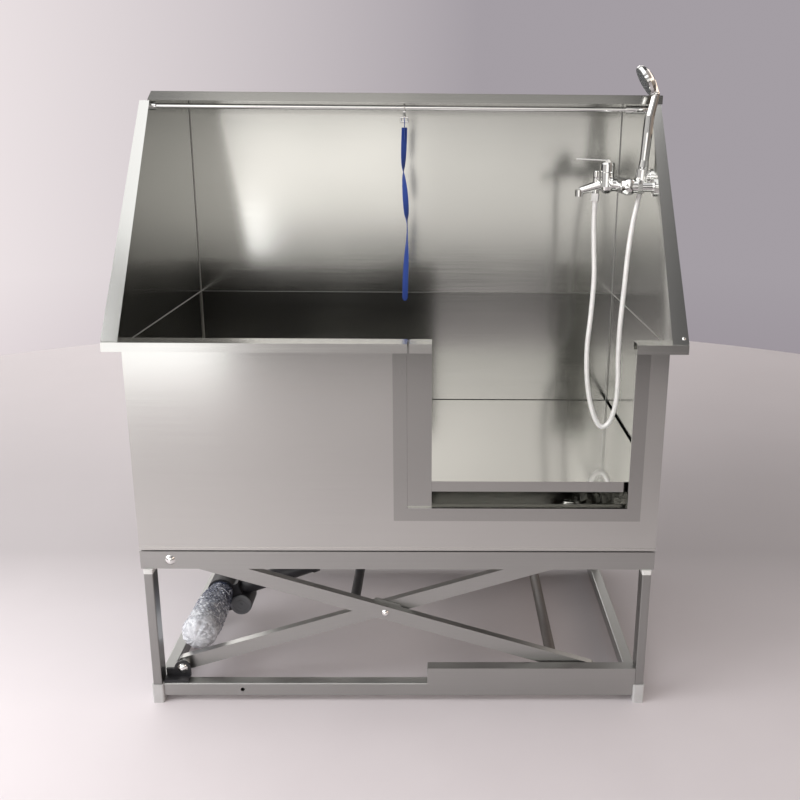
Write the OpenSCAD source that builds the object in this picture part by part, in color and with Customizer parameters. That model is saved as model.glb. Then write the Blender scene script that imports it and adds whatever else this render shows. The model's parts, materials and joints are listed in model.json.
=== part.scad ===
// Dog grooming tub with a walk-in sliding door, splash walls and an electric scissor lift.
// Millimetres. Origin: middle of the tub's outline on the floor. X to the right, front faces -Y, Z up.

/* [Tub] */
// Width over the outer faces of the basin walls
tub_w = 1232; // [1180:2:1320]
// Depth over the outer faces of the basin walls
tub_d = 718; // [700:2:780]
// Height from the bottom hem of the basin to the top of the front rim
basin_h = 512; // [480:1:560]
// Height of the splash walls above the rim
splash_h = 520; // [440:5:600]
// Depth of the splash walls' level top edge
splash_top_d = 374; // [320:2:420]
// Thickness of the tub's sheet steel
sheet_t = 1.5; // [1:0.5:2]

/* [Rim and door] */
// Height of the rim's face
rim_h = 21; // [18:1:26]
// Depth of the rim's level ledge
rim_ledge = 52; // [50:1:58]
// Reach of the rim beyond the front panel
rim_reach = 31; // [26:1:36]
// Reach of the rim and flanges beyond the end walls
rim_side_reach = 34; // [28:1:40]
// Left side of the doorway, from the centre
door_left = 22; // [0:1:40]
// Clear width of the doorway
door_w = 519; // [480:1:530]
// Height of the doorway's sill above the basin's hem
sill_h = 110; // [100:1:130]
// Width of the frame round the doorway
trim_w = 32; // [24:1:36]
// Thickness of the sliding door
door_t = 14; // [12:1:15]
// Length of the sliding door
door_len = 559; // [550:1:575]
// Part of the door that shows while it is open
door_show = 57; // [50:1:65]

/* [Platform] */
// Height of the platform's top above the basin's hem
platform_h = 166.5; // [160:0.5:180]
// Height of the platform's folded lips
platform_lip = 26; // [20:1:30]
// Play between the platform and the walls
platform_play = 5.5; // [4:0.5:8]

/* [Scissor lift] */
// Room from the rollers to the right posts while the tub is down
roller_room = 92.6; // [85:0.2:100]
// Angle of the arms with the tub down
arm_rest = 17; // [16.5:0.5:18]
// Width of an arm
arm_w = 35; // [30:1:36]
// Thickness of an arm
arm_t = 20; // [16:1:20]
// Wall of the arms' and frames' tubes
tube_wall = 2; // [1.5:0.5:2.5]
// Diameter of the pins at the fixed pivots
pivot_d = 16; // [14:1:18]
// Diameter of the pin where the arms cross
centre_d = 11; // [10:1:14]
// Diameter of the rollers' axles
axle_d = 12; // [10:1:14]
// Radial play of each running fit
run_play = 0.05; // [0.03:0.01:0.08]
// Height of the tracks' channel
track_h = 45; // [44:1:48]
// Wall of the tracks' channel
track_t = 3; // [2:0.5:4]
// Play above and below a roller in its track
roller_play = 0.5; // [0.3:0.1:1]

/* [Base] */
// Distance of the posts inside the basin's ends
post_inset = 7; // [3:1:16]
// Reach of the posts beyond the basin's front and back
post_proud = 7; // [3:1:11]
// Width of a post
post_w = 22; // [20:1:28]
// Depth of a post
post_d = 40; // [34:1:44]
// Height of the base rails
rail_h = 35; // [30:1:40]
// Depth of the base rails
rail_d = 30; // [26:1:32]
// Height of the base rails above the floor
rail_z = 15; // [10:1:20]
// Thickness of the rest pads on the posts
pad_t = 11; // [8:1:14]

/* [Drive] */
// Diameter of the actuator's outer tube
tube_d = 46; // [40:1:50]
// Diameter of the actuator's rod
rod_d = 22; // [18:1:26]
// Diameter of the actuator's motor
motor_d = 66; // [56:1:70]
// Length of the actuator's motor
motor_len = 210; // [180:1:220]

/* [Fittings] */
// Diameter of the leash rail
rail_rod_d = 12; // [10:0.5:14]
// Length of the leash strap
strap_len = 447; // [380:1:460]
// Width of the leash strap
strap_w = 15; // [12:1:18]
// Distance between the mixer's two wall unions
union_gap = 150; // [140:1:160]
// Diameter of the shower hose
hose_d = 13; // [12:0.5:14]
// Diameter of the shower head
head_d = 76; // [70:1:80]

/* [Hidden] */
eps = 0.01;
gap = 0.3;
weld_gap = 0.1;
steel = [0.74, 0.74, 0.72];
chrome = [0.86, 0.87, 0.88];
black = [0.08, 0.08, 0.09];
pale = [0.85, 0.86, 0.88];

half_w = tub_w / 2;
half_d = tub_d / 2;
in_w = half_w - sheet_t;
in_d = half_d - sheet_t;
base_w = tub_w - 2 * post_inset;
base_d = tub_d + 2 * post_proud;

// Length of the arms, from the pivots at the left to the rollers at the right
base_x = base_w / 2 - post_w / 2;
roller_d = track_h - 2 * track_t - 2 * roller_play;
pivot_x = 53 - base_x;
roller_x = base_x - post_w / 2 - roller_room - roller_d / 2;
arm_run = roller_x - pivot_x;
arm_len = arm_run / cos(arm_rest);

// Heights of the lift, from the floor up
rail_top = rail_z + rail_h;
low_z = rail_top + track_h / 2;
high_z = low_z + arm_len * sin(arm_rest);
ring_z = high_z - track_h / 2;
ring_top = ring_z + track_h;
floor_step = 4;
hem_z = ring_top + floor_step;

// Heights of the tub
rim_z = hem_z + basin_h;
rim_low = rim_z - rim_h;
splash_z = rim_z + splash_h;
sill_z = hem_z + sill_h;
platform_z = hem_z + platform_h;
floor_z = ring_top + sheet_t;
lap = 12;

// The doorway and the door's path
door_right = door_left + door_w;
rim_front = half_d + rim_reach;
rim_back = rim_front - rim_ledge;
door_front = half_d - 4;
door_back = door_front - door_t;
door_lead = door_left + door_show;
guide_back = door_back - 2.5;
cap_left = door_left + 7;
rim_left_end = door_left + 2;
rim_right_start = door_right - 4;
trim_proud = 4;

// The scissor's points, in X and Z
mid_x = pivot_x + arm_run / 2;
mid_z = (low_z + high_z) / 2;
arm_a_y = half_d - 47;
arm_b_y = arm_a_y - arm_t - 4;
arm_gap = arm_a_y - arm_b_y - arm_t;

// Base frame
base_y = base_d / 2 - post_d / 2;
foot_wall = 3;
shift_y = (rim_front - base_d / 2 - foot_wall) / 2;
foot_floor = 6;
foot_x_in = base_x - post_w / 2 - foot_wall;
foot_y_in = base_y - post_d / 2 - foot_wall;
post_top = ring_z - gap - pad_t;
side_rail_x = base_x - 7;
low_track_y = base_d / 2;
low_track_d = 29;
high_track_d = 24;
low_track_x = half_w - 546;
bracket_y = arm_a_y + 18;

// The drive's tail pin, its journal on the lift tube and its line between them
tail = [pivot_x - 15, low_z + 16];
crank_back = 80;
crank = [mid_x - crank_back * cos(arm_rest), mid_z + crank_back * sin(arm_rest)];
drive_len = norm(crank - tail);
drive_angle = atan2(crank[1] - tail[1], crank[0] - tail[0]);
drive_pin_d = 12;
journal_d = 16;
crank_play = 7;
lift_tube_d = 25;
motor_at = [61, 21];
cover_at = [98, -33];
film_slack = 13;
film_lean = 3;

// Fittings on the splash walls
rod_z = splash_z - 13;
rod_y = 0;
hook_x = 7;
hook_r = rail_rod_d / 2 + 7;
hook_wire = 4;
hook_z = rod_z + rail_rod_d / 2 + gap - hook_r + hook_wire / 2;
bar_z = hook_z - 29;
wall_in = in_w - sheet_t;
mixer_y = -40;
mixer_z = splash_z - 193;
mixer_x = wall_in - 64;
hub_x = mixer_x - 40;
hub_z = mixer_z + 30;
spout_x = mixer_x - 108;
outlet_x = mixer_x - 67;
barrel_r = 20;
nut_x = mixer_x + barrel_r + gap;
handset_tilt = 3.6;
handset_x = wall_in - 23;
handset_y = -60;
handset_z = splash_z - 192;
head_at = [-17, 0, 246];
head_turn = -124;
drain_x = 457;
drain_y = -15;
drain_r = 20;
drain_nut_r = drain_r + 3.5;

// The hose's route from the mixer's outlet down and up to the handset
hose_route = [[482, -40, 1211], [482, -40, 1190], [482, -42, 1150], [484, -50, 1090], [486, -60, 1020],
    [481, -70, 930], [474, -80, 850], [475, -88, 780], [482, -94, 725], [495, -98, 675], [515, -100, 641],
    [537, -101, 652], [551, -101, 700], [554, -99, 760], [552, -95, 830], [553, -91, 910],
    [559, -85, 1000], [565, -78, 1090], [574, -69, 1160], [583, -62, 1205], [588, -60, 1232]];
hose_steps = 3;
hose_sides = 10;

// Shared shapes

// Sets a sub-part back so that the whole tub is centred on the origin
module placed() {
    translate([0, shift_y, 0]) children();
}

module front_and_back() {
    children();
    mirror([0, 1, 0]) children();
}

module left_and_right() {
    children();
    mirror([1, 0, 0]) children();
}

// Box between two corners
module block(low, high) {
    translate(low) cube(high - low);
}

// Rectangle with round corners, centred
module round_rect(w, h, r) {
    square([w - 2 * r, h], center = true);
    square([w, h - 2 * r], center = true);
    for (x = [-1, 1], y = [-1, 1])
        translate([x * (w / 2 - r), y * (h / 2 - r)]) circle(r, $fn = 32);
}

// Section of a rectangular tube
module tube_section(w, h) {
    difference() {
        round_rect(w, h, tube_wall + 1);
        round_rect(w - 2 * tube_wall, h - 2 * tube_wall, 1);
    }
}

// Rod along Y between two depths
module rod_y_axis(r, y0, y1, x, z) {
    translate([x, y1, z]) rotate([90, 0, 0]) cylinder(r = r, h = y1 - y0, $fn = 48);
}

// Rod along X between two places
module rod_x_axis(r, x0, x1, y, z) {
    translate([x0, y, z]) rotate([0, 90, 0]) cylinder(r = r, h = x1 - x0, $fn = 48);
}

// Low dome on a flat face that looks towards -Y
module dome_head(r, h, x, y, z) {
    translate([x, y, z]) rotate([90, 0, 0]) rotate_extrude($fn = 48) intersection() {
        translate([0, h - (r * r + h * h) / (2 * h)]) circle((r * r + h * h) / (2 * h), $fn = 96);
        square([r, h]);
    }
}

// Channel that opens towards +Y, with its web at the front
module channel(x0, x1, depth, y, z) {
    difference() {
        block([x0, y, z], [x1, y + depth, z + track_h]);
        block([x0 - 1, y + track_t, z + track_t], [x1 + 1, y + depth + 1, z + track_h - track_t]);
    }
}

// Places a shape drawn along +X from the tail pin on the drive's line
module on_drive() {
    translate([tail[0], 0, tail[1]]) rotate([0, -drive_angle, 0]) children();
}

// Base frame

module base_rails() {
    color(steel) placed() {
        front_and_back() difference() {
            translate([0, -base_y, rail_z + rail_h / 2]) rotate([90, 0, 90])
                linear_extrude(2 * foot_x_in, center = true) tube_section(rail_d, rail_h);
            rod_y_axis(5, -base_y - rail_d, -base_y, pivot_x + 155, rail_z + rail_h / 2);
        }
        left_and_right() translate([side_rail_x, 0, rail_z + rail_h / 2]) rotate([90, 0, 0])
            linear_extrude(2 * foot_y_in, center = true) tube_section(rail_d, rail_h);
    }
}

module posts() {
    color(steel) placed() left_and_right() front_and_back() translate([base_x, -base_y, foot_floor])
        linear_extrude(post_top - foot_floor) tube_section(post_w, post_d);
}

// Pad with a spigot that plugs the post's top
module rest_pads() {
    inner_w = post_w - 2 * tube_wall - 0.2;
    inner_d = post_d - 2 * tube_wall - 0.2;
    color(pale) placed() left_and_right() front_and_back() translate([base_x, -base_y, post_top]) {
        linear_extrude(pad_t) round_rect(post_w, post_d, 3);
        translate([0, 0, -12]) linear_extrude(12 + eps) round_rect(inner_w, inner_d, 1.1);
    }
}

// Socket round the foot of each post, with a floor
module feet() {
    color(pale) placed() left_and_right() front_and_back() translate([base_x, -base_y, 0]) difference() {
        linear_extrude(rail_top) round_rect(post_w + 2 * foot_wall, post_d + 2 * foot_wall, 5);
        translate([0, 0, foot_floor]) linear_extrude(rail_top) round_rect(post_w, post_d, tube_wall + 1);
    }
}

module lower_tracks() {
    color(steel) placed() front_and_back()
        channel(low_track_x, base_x - post_w / 2, low_track_d, -low_track_y, rail_top);
}

// Bracket plate on the rail that holds the inner arms' fixed pivot
module lower_brackets() {
    plate_y = -bracket_y;
    plate_t = 6;
    color(black) placed() front_and_back() difference() {
        union() {
            block([pivot_x - 40, plate_y, rail_top], [pivot_x + 20, plate_y + plate_t, low_z]);
            rod_y_axis(20, plate_y, plate_y + plate_t, pivot_x, low_z);
            block([pivot_x - 40, -base_y - 10, rail_top], [pivot_x + 20, plate_y + 1, rail_top + 5]);
        }
        rod_y_axis(pivot_d / 2 + run_play, plate_y - 1, plate_y + plate_t + 1, pivot_x, low_z);
    }
}

// Pin with a domed head, a spacer collar and a plain end behind the arm
module lower_pins() {
    color(chrome) placed() front_and_back() {
        dome_head(13, 5, pivot_x, -bracket_y, low_z);
        rod_y_axis(pivot_d / 2, -bracket_y, -arm_b_y + 8, pivot_x, low_z);
        rod_y_axis(13, 6 - bracket_y, -arm_b_y - arm_t - gap, pivot_x, low_z);
        rod_y_axis(12, -arm_b_y + gap, -arm_b_y + 6, pivot_x, low_z);
    }
}

// Two ears on the left base rail for the drive's tail pin
module drive_bracket() {
    color(black) placed() difference() {
        union() for (side = [-1, 1]) {
            translate([0, side * 13 + 3, 0]) rotate([90, 0, 0]) linear_extrude(6) {
                polygon([[-side_rail_x - 12, rail_top], [-side_rail_x + 14, rail_top],
                    [tail[0] + 12, tail[1] - 8], [tail[0] - 2, tail[1] + 14]]);
                translate(tail) circle(14, $fn = 48);
            }
            block([-side_rail_x - 12, -16, rail_top], [-side_rail_x + 14, 16, rail_top + 5]);
        }
        rod_y_axis(drive_pin_d / 2 + run_play, -20, 20, tail[0], tail[1]);
    }
}

module drive_tail_pin() {
    color(chrome) placed() {
        rod_y_axis(drive_pin_d / 2, -20, 20, tail[0], tail[1]);
        rod_y_axis(9, -21, -16 - gap, tail[0], tail[1]);
        rod_y_axis(9, 16 + gap, 21, tail[0], tail[1]);
    }
}

// Scissor arms

// Closed tube with round ends and solid bearing blocks, turned about its middle;
// its hollows are vented by a small hole each, as on a welded tube
module arm(angle, end_bores, y0) {
    cavity = arm_len / 2 - 110;
    translate([mid_x, y0 + arm_t, mid_z]) rotate([0, -angle, 0]) rotate([90, 0, 0]) difference() {
        linear_extrude(arm_t) {
            square([arm_len, arm_w], center = true);
            for (x = [-1, 1]) translate([x * arm_len / 2, 0]) circle(arm_w / 2, $fn = 64);
        }
        for (side = [-1, 1]) {
            translate([side * (arm_len / 4), 0, arm_t / 2])
                cube([cavity, arm_w - 2 * tube_wall, arm_t - 2 * tube_wall], center = true);
            translate([side * arm_len / 8, 0, -1]) cylinder(d = 4, h = arm_t / 2, $fn = 24);
            translate([side * arm_len / 2, 0, -1])
                cylinder(r = end_bores[(side + 1) / 2] / 2 + run_play, h = arm_t + 2, $fn = 48);
        }
        translate([0, 0, -1]) cylinder(r = centre_d / 2 + run_play, h = arm_t + 2, $fn = 48);
    }
}

module inner_arms() {
    color(steel) placed() front_and_back() arm(arm_rest, [pivot_d, axle_d], -arm_b_y - arm_t);
}

module outer_arms() {
    color(steel) placed() front_and_back() arm(-arm_rest, [pivot_d, axle_d], -arm_a_y - arm_t);
}

// Cross tube that runs along Y at a distance from the middle pivot along an arm
module cross_tube(d, along, angle, reach) {
    x = mid_x + along * cos(angle);
    z = mid_z + along * sin(angle);
    difference() {
        rod_y_axis(d / 2, -reach, reach, x, z);
        rod_y_axis(d / 2 - tube_wall, -reach - 1, reach + 1, x, z);
    }
}

module inner_tie() {
    color(black) placed() cross_tube(lift_tube_d, arm_len / 2 - 80, arm_rest, arm_b_y);
}

module outer_tie() {
    color([0.35, 0.32, 0.31]) placed() cross_tube(28, arm_len / 2 - 97.5, -arm_rest, arm_a_y);
}

// Bolt through both arms where they cross, with a nut behind
module centre_bolts() {
    color(chrome) placed() front_and_back() {
        dome_head(9, 5, mid_x, -arm_a_y - arm_t - gap, mid_z);
        rod_y_axis(centre_d / 2, -arm_a_y - arm_t - gap, -arm_b_y + 10, mid_x, mid_z);
        translate([mid_x, -arm_b_y + 9, mid_z]) rotate([90, 0, 0]) cylinder(r = 10, h = 9 - gap, $fn = 6);
    }
}

// Plates that keep the crossing arms apart
module wear_plates() {
    color([0.7, 0.7, 0.69]) placed() front_and_back() difference() {
        translate([mid_x, -arm_a_y + arm_gap - gap, mid_z]) rotate([0, arm_rest, 0]) rotate([90, 0, 0])
            linear_extrude(arm_gap - gap) round_rect(70, 46, 6);
        rod_y_axis(centre_d / 2 + run_play, -arm_a_y - 1, -arm_b_y - arm_t + 1, mid_x, mid_z);
    }
}

// Cross tube that the drive lifts, with a solid journal between two collars at its middle
module lift_tube() {
    x = crank[0];
    z = crank[1];
    color(black) placed() {
        rod_y_axis(journal_d / 2, -18, 18, x, z);
        front_and_back() difference() {
            union() {
                rod_y_axis(lift_tube_d / 2, -arm_a_y, -12, x, z);
                rod_y_axis(24, -18, -12, x, z);
            }
            rod_y_axis(lift_tube_d / 2 - tube_wall, -arm_a_y - 1, -24, x, z);
        }
    }
}

// Stub axle: washer behind the arm, collar to the roller and a cap at its outer end
module axle(x, z, arm_face, arm_back, roller_in, roller_out) {
    rod_y_axis(axle_d / 2, -roller_out - 2, -arm_back + 4, x, z);
    rod_y_axis(10, -roller_out - 2, -roller_out - gap, x, z);
    rod_y_axis(10, -roller_in + gap, -arm_face, x, z);
    rod_y_axis(11, -arm_back, -arm_back + 5, x, z);
}

low_roller_out = low_track_y - track_t - 3;
low_roller_in = low_roller_out - 20;
high_roller_out = half_d - track_t - 3;
high_roller_in = high_roller_out - 17;

module lower_axles() {
    color(chrome) placed() front_and_back()
        axle(roller_x, low_z, arm_a_y + arm_t, arm_a_y, low_roller_in, low_roller_out);
}

module upper_axles() {
    color(chrome) placed() front_and_back()
        axle(roller_x, high_z, arm_b_y + arm_t, arm_b_y, high_roller_in, high_roller_out);
}

// Grooved roller on its axle
module roller(x, z, y_in, y_out) {
    w = y_out - y_in;
    translate([x, -y_in, z]) rotate([90, 0, 0]) rotate_extrude($fn = 64) difference() {
        translate([axle_d / 2 + run_play, 0]) square([roller_d / 2 - axle_d / 2 - run_play, w]);
        translate([roller_d / 2, w / 2]) circle(2, $fn = 24);
        translate([roller_d / 4 + 3, -1]) square([3, 3]);
        translate([roller_d / 4 + 3, w - 2]) square([3, 3]);
    }
}

module lower_rollers() {
    color([0.3, 0.3, 0.31]) placed() front_and_back() roller(roller_x, low_z, low_roller_in, low_roller_out);
}

module upper_rollers() {
    color([0.3, 0.3, 0.31]) placed() front_and_back()
        roller(roller_x, high_z, high_roller_in, high_roller_out);
}

// Upper frame's channels, front and back, in which the upper rollers run: each is a web
// with two welded flanges
module upper_ring() {
    web_in = half_d - track_t;
    color(steel) placed() front_and_back() {
        difference() {
            block([-half_w, -half_d, ring_z], [half_w, -web_in, ring_top]);
            rod_y_axis(pivot_d / 2 + run_play, -half_d - 1, 1 - web_in, pivot_x, high_z);
        }
        for (z = [ring_z, ring_top - track_t])
            block([-half_w, weld_gap - web_in, z], [half_w, high_track_d - half_d, z + track_t]);
    }
}

// Tubes between the channels at both ends
module ring_ends() {
    end_y = half_d - high_track_d;
    color(steel) placed() left_and_right() translate([half_w - 11, 0, ring_z + track_h / 2])
        rotate([90, 0, 0]) linear_extrude(2 * end_y, center = true) tube_section(22, track_h);
}

// Bolt with a large domed head through the ring and the outer arm's end
module upper_bolts() {
    color(chrome) placed() front_and_back() {
        dome_head(12.5, 6, pivot_x, -half_d, high_z);
        rod_y_axis(pivot_d / 2, -half_d, -arm_a_y + 8, pivot_x, high_z);
        rod_y_axis(13, -half_d + track_t, -arm_a_y - arm_t - gap, pivot_x, high_z);
        translate([pivot_x, -arm_a_y + 9, high_z]) rotate([90, 0, 0]) cylinder(r = 13, h = 9 - gap, $fn = 6);
    }
}

// Basin

// Pressed pan that stands on the ring and steps up to the walls
module basin_floor() {
    step_in = 15;
    pan_x = half_w - step_in;
    pan_y = half_d - step_in;
    color(steel) placed() difference() {
        union() {
            block([-in_w, -in_d, hem_z], [in_w, in_d, hem_z + sheet_t]);
            block([-pan_x, -pan_y, ring_top], [pan_x, pan_y, hem_z + sheet_t]);
        }
        block([sheet_t - pan_x, sheet_t - pan_y, floor_z], [pan_x - sheet_t, pan_y - sheet_t, rim_z]);
        translate([drain_x, drain_y, ring_top - 1]) cylinder(r = drain_nut_r + 0.5, h = 10, $fn = 64);
    }
}

module front_panel() {
    color(steel) placed() difference() {
        union() {
            block([-half_w, -half_d, hem_z], [half_w, -in_d, rim_z - sheet_t]);
            block([-half_w, -half_d - 1, hem_z], [half_w, -half_d + eps, hem_z + 7]);
        }
        block([door_left, -half_d - 2, sill_z], [door_right, -in_d + 1, rim_z]);
    }
}

module back_panel() {
    color(steel) placed() {
        block([-half_w, in_d, hem_z], [half_w, half_d, rim_z]);
        block([-half_w, half_d - eps, hem_z], [half_w, half_d + 1, hem_z + 7]);
    }
}

// End walls, cut down in front where the rim's back edge passes
module end_panels() {
    color(steel) placed() left_and_right() translate([in_w, 0, 0])
        rotate([90, 0, 90]) linear_extrude(sheet_t)
            polygon([[-in_d, hem_z], [in_d, hem_z], [in_d, rim_z], [gap - rim_back, rim_z],
                [gap - rim_back, rim_low - gap], [-in_d, rim_low - gap]]);
}

// Folded rim: a face, a ledge and a back edge, closed where it ends at a corner
module rim_piece(x0, x1, closed_left, closed_right) {
    difference() {
        block([x0, -rim_front, rim_low], [x1, -rim_back, rim_z]);
        block([x0 + (closed_left ? sheet_t : -1), sheet_t - rim_front, rim_low - 1],
            [x1 + (closed_right ? -sheet_t : 1), -rim_back - sheet_t, rim_z - sheet_t]);
    }
}

module front_rim() {
    color(steel) placed() {
        rim_piece(-half_w - rim_side_reach, rim_left_end, true, false);
        rim_piece(rim_right_start, half_w + rim_side_reach, false, true);
    }
}

// Raised frame round three sides of the doorway
module door_trim() {
    top = rim_z - sheet_t;
    color([0.78, 0.78, 0.77]) placed() difference() {
        block([door_left - trim_w, -half_d - trim_proud, sill_z - trim_w],
            [door_right + trim_w, -half_d, top]);
        block([door_left, -half_d - trim_proud - 1, sill_z], [door_right, -half_d + 1, top + 1]);
    }
}

// Channel behind the panel in which the door's lower edge slides
module door_guide() {
    guide_front = half_d - sheet_t;
    guide_z = sill_z - 10;
    guide_lip = 2;
    color(steel) placed() difference() {
        block([door_lead - door_len - 5, -guide_front, guide_z],
            [door_right, -guide_back, sill_z + guide_lip]);
        block([door_lead - door_len - 6, sheet_t - guide_front, guide_z + sheet_t],
            [door_right + 1, -guide_back - sheet_t, sill_z + guide_lip + 1]);
        block([door_lead - door_len - 6, -guide_front - 1, sill_z],
            [door_right + 1, sheet_t - guide_front + eps, sill_z + guide_lip + 1]);
    }
}

// Door: a pan of sheet steel with folded edges, open towards the basin
module sliding_door() {
    low = [door_lead - door_len, -door_front, sill_z - 10 + sheet_t + 0.5];
    high = [door_lead, -door_back, rim_z - sheet_t - 0.5];
    color(steel) placed() difference() {
        block(low, high);
        block(low + [sheet_t, sheet_t, sheet_t], high + [-sheet_t, 1, -sheet_t]);
    }
}

// Piece of rim that travels on the door's leading end
module door_cap() {
    color(steel) placed() rim_piece(cap_left, door_lead, false, false);
}

// Splash walls

// Slope of the front edge of the splash walls
slope_low = [-rim_front, rim_z];
slope_high = [half_d - splash_top_d, splash_z];
slope_len = norm(slope_high - slope_low);
slope_angle = atan2(splash_h, slope_high[0] - slope_low[0]);
flange_low = rim_side_reach + sheet_t;
flange_high = 24;
flange_start = 3;

module splash_back() {
    color(steel) placed() block([-wall_in, in_d - sheet_t, rim_z - lap], [wall_in, in_d, splash_z]);
}

// End wall of the splash with a tapering flange along its sloping edge
module splash_sides() {
    back = in_d;
    color(steel) placed() left_and_right() {
        translate([wall_in, 0, 0]) rotate([90, 0, 90]) linear_extrude(sheet_t)
            polygon([[gap - rim_back, rim_z - lap], [back, rim_z - lap], [back, splash_z],
                slope_high + [1, 0], slope_low + [1, 0], [gap - rim_back, rim_z]]);
        translate([wall_in, slope_low[0], slope_low[1]]) rotate([slope_angle, 0, 0])
            translate([0, 0, -sheet_t]) linear_extrude(sheet_t)
                polygon([[0, flange_start], [flange_low + sheet_t, flange_start],
                    [flange_high, slope_len - 1], [0, slope_len - 1]]);
    }
}

// Shelf across the top with a folded-up front lip, mitred at its left end
module top_shelf() {
    front = slope_high[0];
    lip_right = half_w + flange_high;
    color(steel) placed() {
        block([-half_w, front, splash_z], [half_w, half_d, splash_z + sheet_t]);
        translate([0, front, 0]) rotate([90, 0, 0]) linear_extrude(sheet_t)
            polygon([[-half_w - 2, splash_z], [lip_right, splash_z], [lip_right, splash_z + rim_h],
                [-half_w + 9, splash_z + rim_h]]);
    }
}

module leash_rod() {
    color(chrome) placed() rod_x_axis(rail_rod_d / 2, -wall_in + 1, wall_in - 1, rod_y, rod_z);
}

module socket_piece(x0, x1, r) {
    difference() {
        rod_x_axis(r, x0, x1, rod_y, rod_z);
        rod_x_axis(rail_rod_d / 2 + run_play, x0 - 1, x1 + 1, rod_y, rod_z);
    }
}

// Flange at the left wall and a longer sleeve at the right wall
module rod_sockets() {
    color(chrome) placed() {
        socket_piece(-wall_in, -wall_in + 12, rail_rod_d / 2 + 4);
        socket_piece(wall_in - 60, wall_in, rail_rod_d / 2 + 4);
    }
}

// Drain and platform

// Flange on the floor, tail pipe and back nut, turned in one profile
module drain_body() {
    r = drain_r;
    color(chrome) placed() {
        translate([drain_x, drain_y, 0]) rotate_extrude($fn = 64)
            polygon([[r, ring_top - 72], [r + 2, ring_top - 72], [r + 2, ring_top - 22],
                [r + 1.5, ring_top - 22], [r + 1.5, ring_top - 20], [drain_nut_r, ring_top - 20],
                [drain_nut_r, floor_z], [r + 32, floor_z], [r + 32, floor_z + 1],
                [r + 28, floor_z + 2], [r, floor_z + 2]]);
        translate([drain_x, drain_y, ring_top - 10]) difference() {
            cylinder(r = r + 14, h = 9.7, $fn = 6);
            translate([0, 0, -1]) cylinder(r = drain_nut_r + run_play, h = 12, $fn = 64);
        }
    }
}

// Lift-out strainer with a ring of round holes and a locating skirt
module strainer() {
    z = floor_z + 2 + gap;
    color(pale) placed() translate([drain_x, drain_y, z]) difference() {
        union() {
            cylinder(r = drain_r + 29, h = 2, $fn = 64);
            translate([0, 0, -10]) cylinder(r = drain_r - gap, h = 10 + eps, $fn = 64);
        }
        translate([0, 0, -11]) cylinder(r = drain_r - 1.5, h = 11, $fn = 64);
        for (a = [0 : 60 : 300]) rotate(a) translate([10, 0, -1]) cylinder(r = 2.5, h = 4, $fn = 24);
        for (a = [0 : 30 : 330]) rotate(a) translate([drain_r + 14, 0, -1]) cylinder(r = 3, h = 4, $fn = 24);
    }
}

ledge_top = platform_z - platform_lip;

// Angle ledges along the end walls that carry the platform
module platform_ledges() {
    color(steel) placed() left_and_right() translate([0, in_d - 4, 0]) rotate([90, 0, 0])
        linear_extrude(2 * in_d - 34)
            polygon([[in_w, ledge_top], [in_w, ledge_top - 25], [in_w - 2, ledge_top - 25],
                [in_w - 2, ledge_top - 2], [in_w - 25, ledge_top - 2], [in_w - 25, ledge_top]]);
}

// Raised floor that the dog stands on: a tray turned over, with stiffeners under its top
module platform() {
    x = in_w - platform_play;
    front = -guide_back + platform_play;
    back = in_d - platform_play;
    color(steel) placed() {
        difference() {
            block([-x, front, ledge_top + gap], [x, back, platform_z]);
            block([sheet_t - x, front + sheet_t, ledge_top - 1], [x - sheet_t, back - sheet_t,
                platform_z - sheet_t]);
        }
        for (side = [-1, 0, 1]) translate([0, side * 190 - 20, 0])
            block([sheet_t - x, 0, platform_z - 16], [x - sheet_t, 2, platform_z - sheet_t + eps]);
    }
}

// Mixer on the right wall

// Two wall discs, unions and nuts
module wall_unions() {
    color(chrome) placed() for (side = [-1, 1]) {
        y = mixer_y + side * union_gap / 2;
        rod_x_axis(22, wall_in - 6, wall_in, y, mixer_z);
        rod_x_axis(11, mixer_x + 30, wall_in - 5, y, mixer_z);
        translate([nut_x, y, mixer_z]) rotate([0, 90, 0]) cylinder(r = 16, h = 11, $fn = 6);
    }
}

// Barrel along the wall with two ends turned to the unions and a neck for the lever's hub
module mixer_body() {
    color(chrome) placed() {
        reach = union_gap / 2 + 4;
        translate([mixer_x, mixer_y, mixer_z]) rotate([90, 0, 0]) rotate_extrude($fn = 48)
            polygon([[0, -reach - 12], [11, -reach - 10], [18, -reach - 3], [barrel_r, 6 - reach],
                [barrel_r, reach - 6],
                [18, reach + 3], [11, reach + 10], [0, reach + 12]]);
        for (side = [-1, 1])
            rod_x_axis(15, mixer_x, nut_x, mixer_y + side * union_gap / 2, mixer_z);
        rod_x_axis(15, hub_x, mixer_x, mixer_y, mixer_z);
        translate([hub_x, mixer_y, mixer_z]) rotate_extrude($fn = 48)
            polygon([[0, -21], [9, -19], [16, -12], [18, -4], [18, hub_z - mixer_z], [0, hub_z - mixer_z]]);
    }
}

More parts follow.
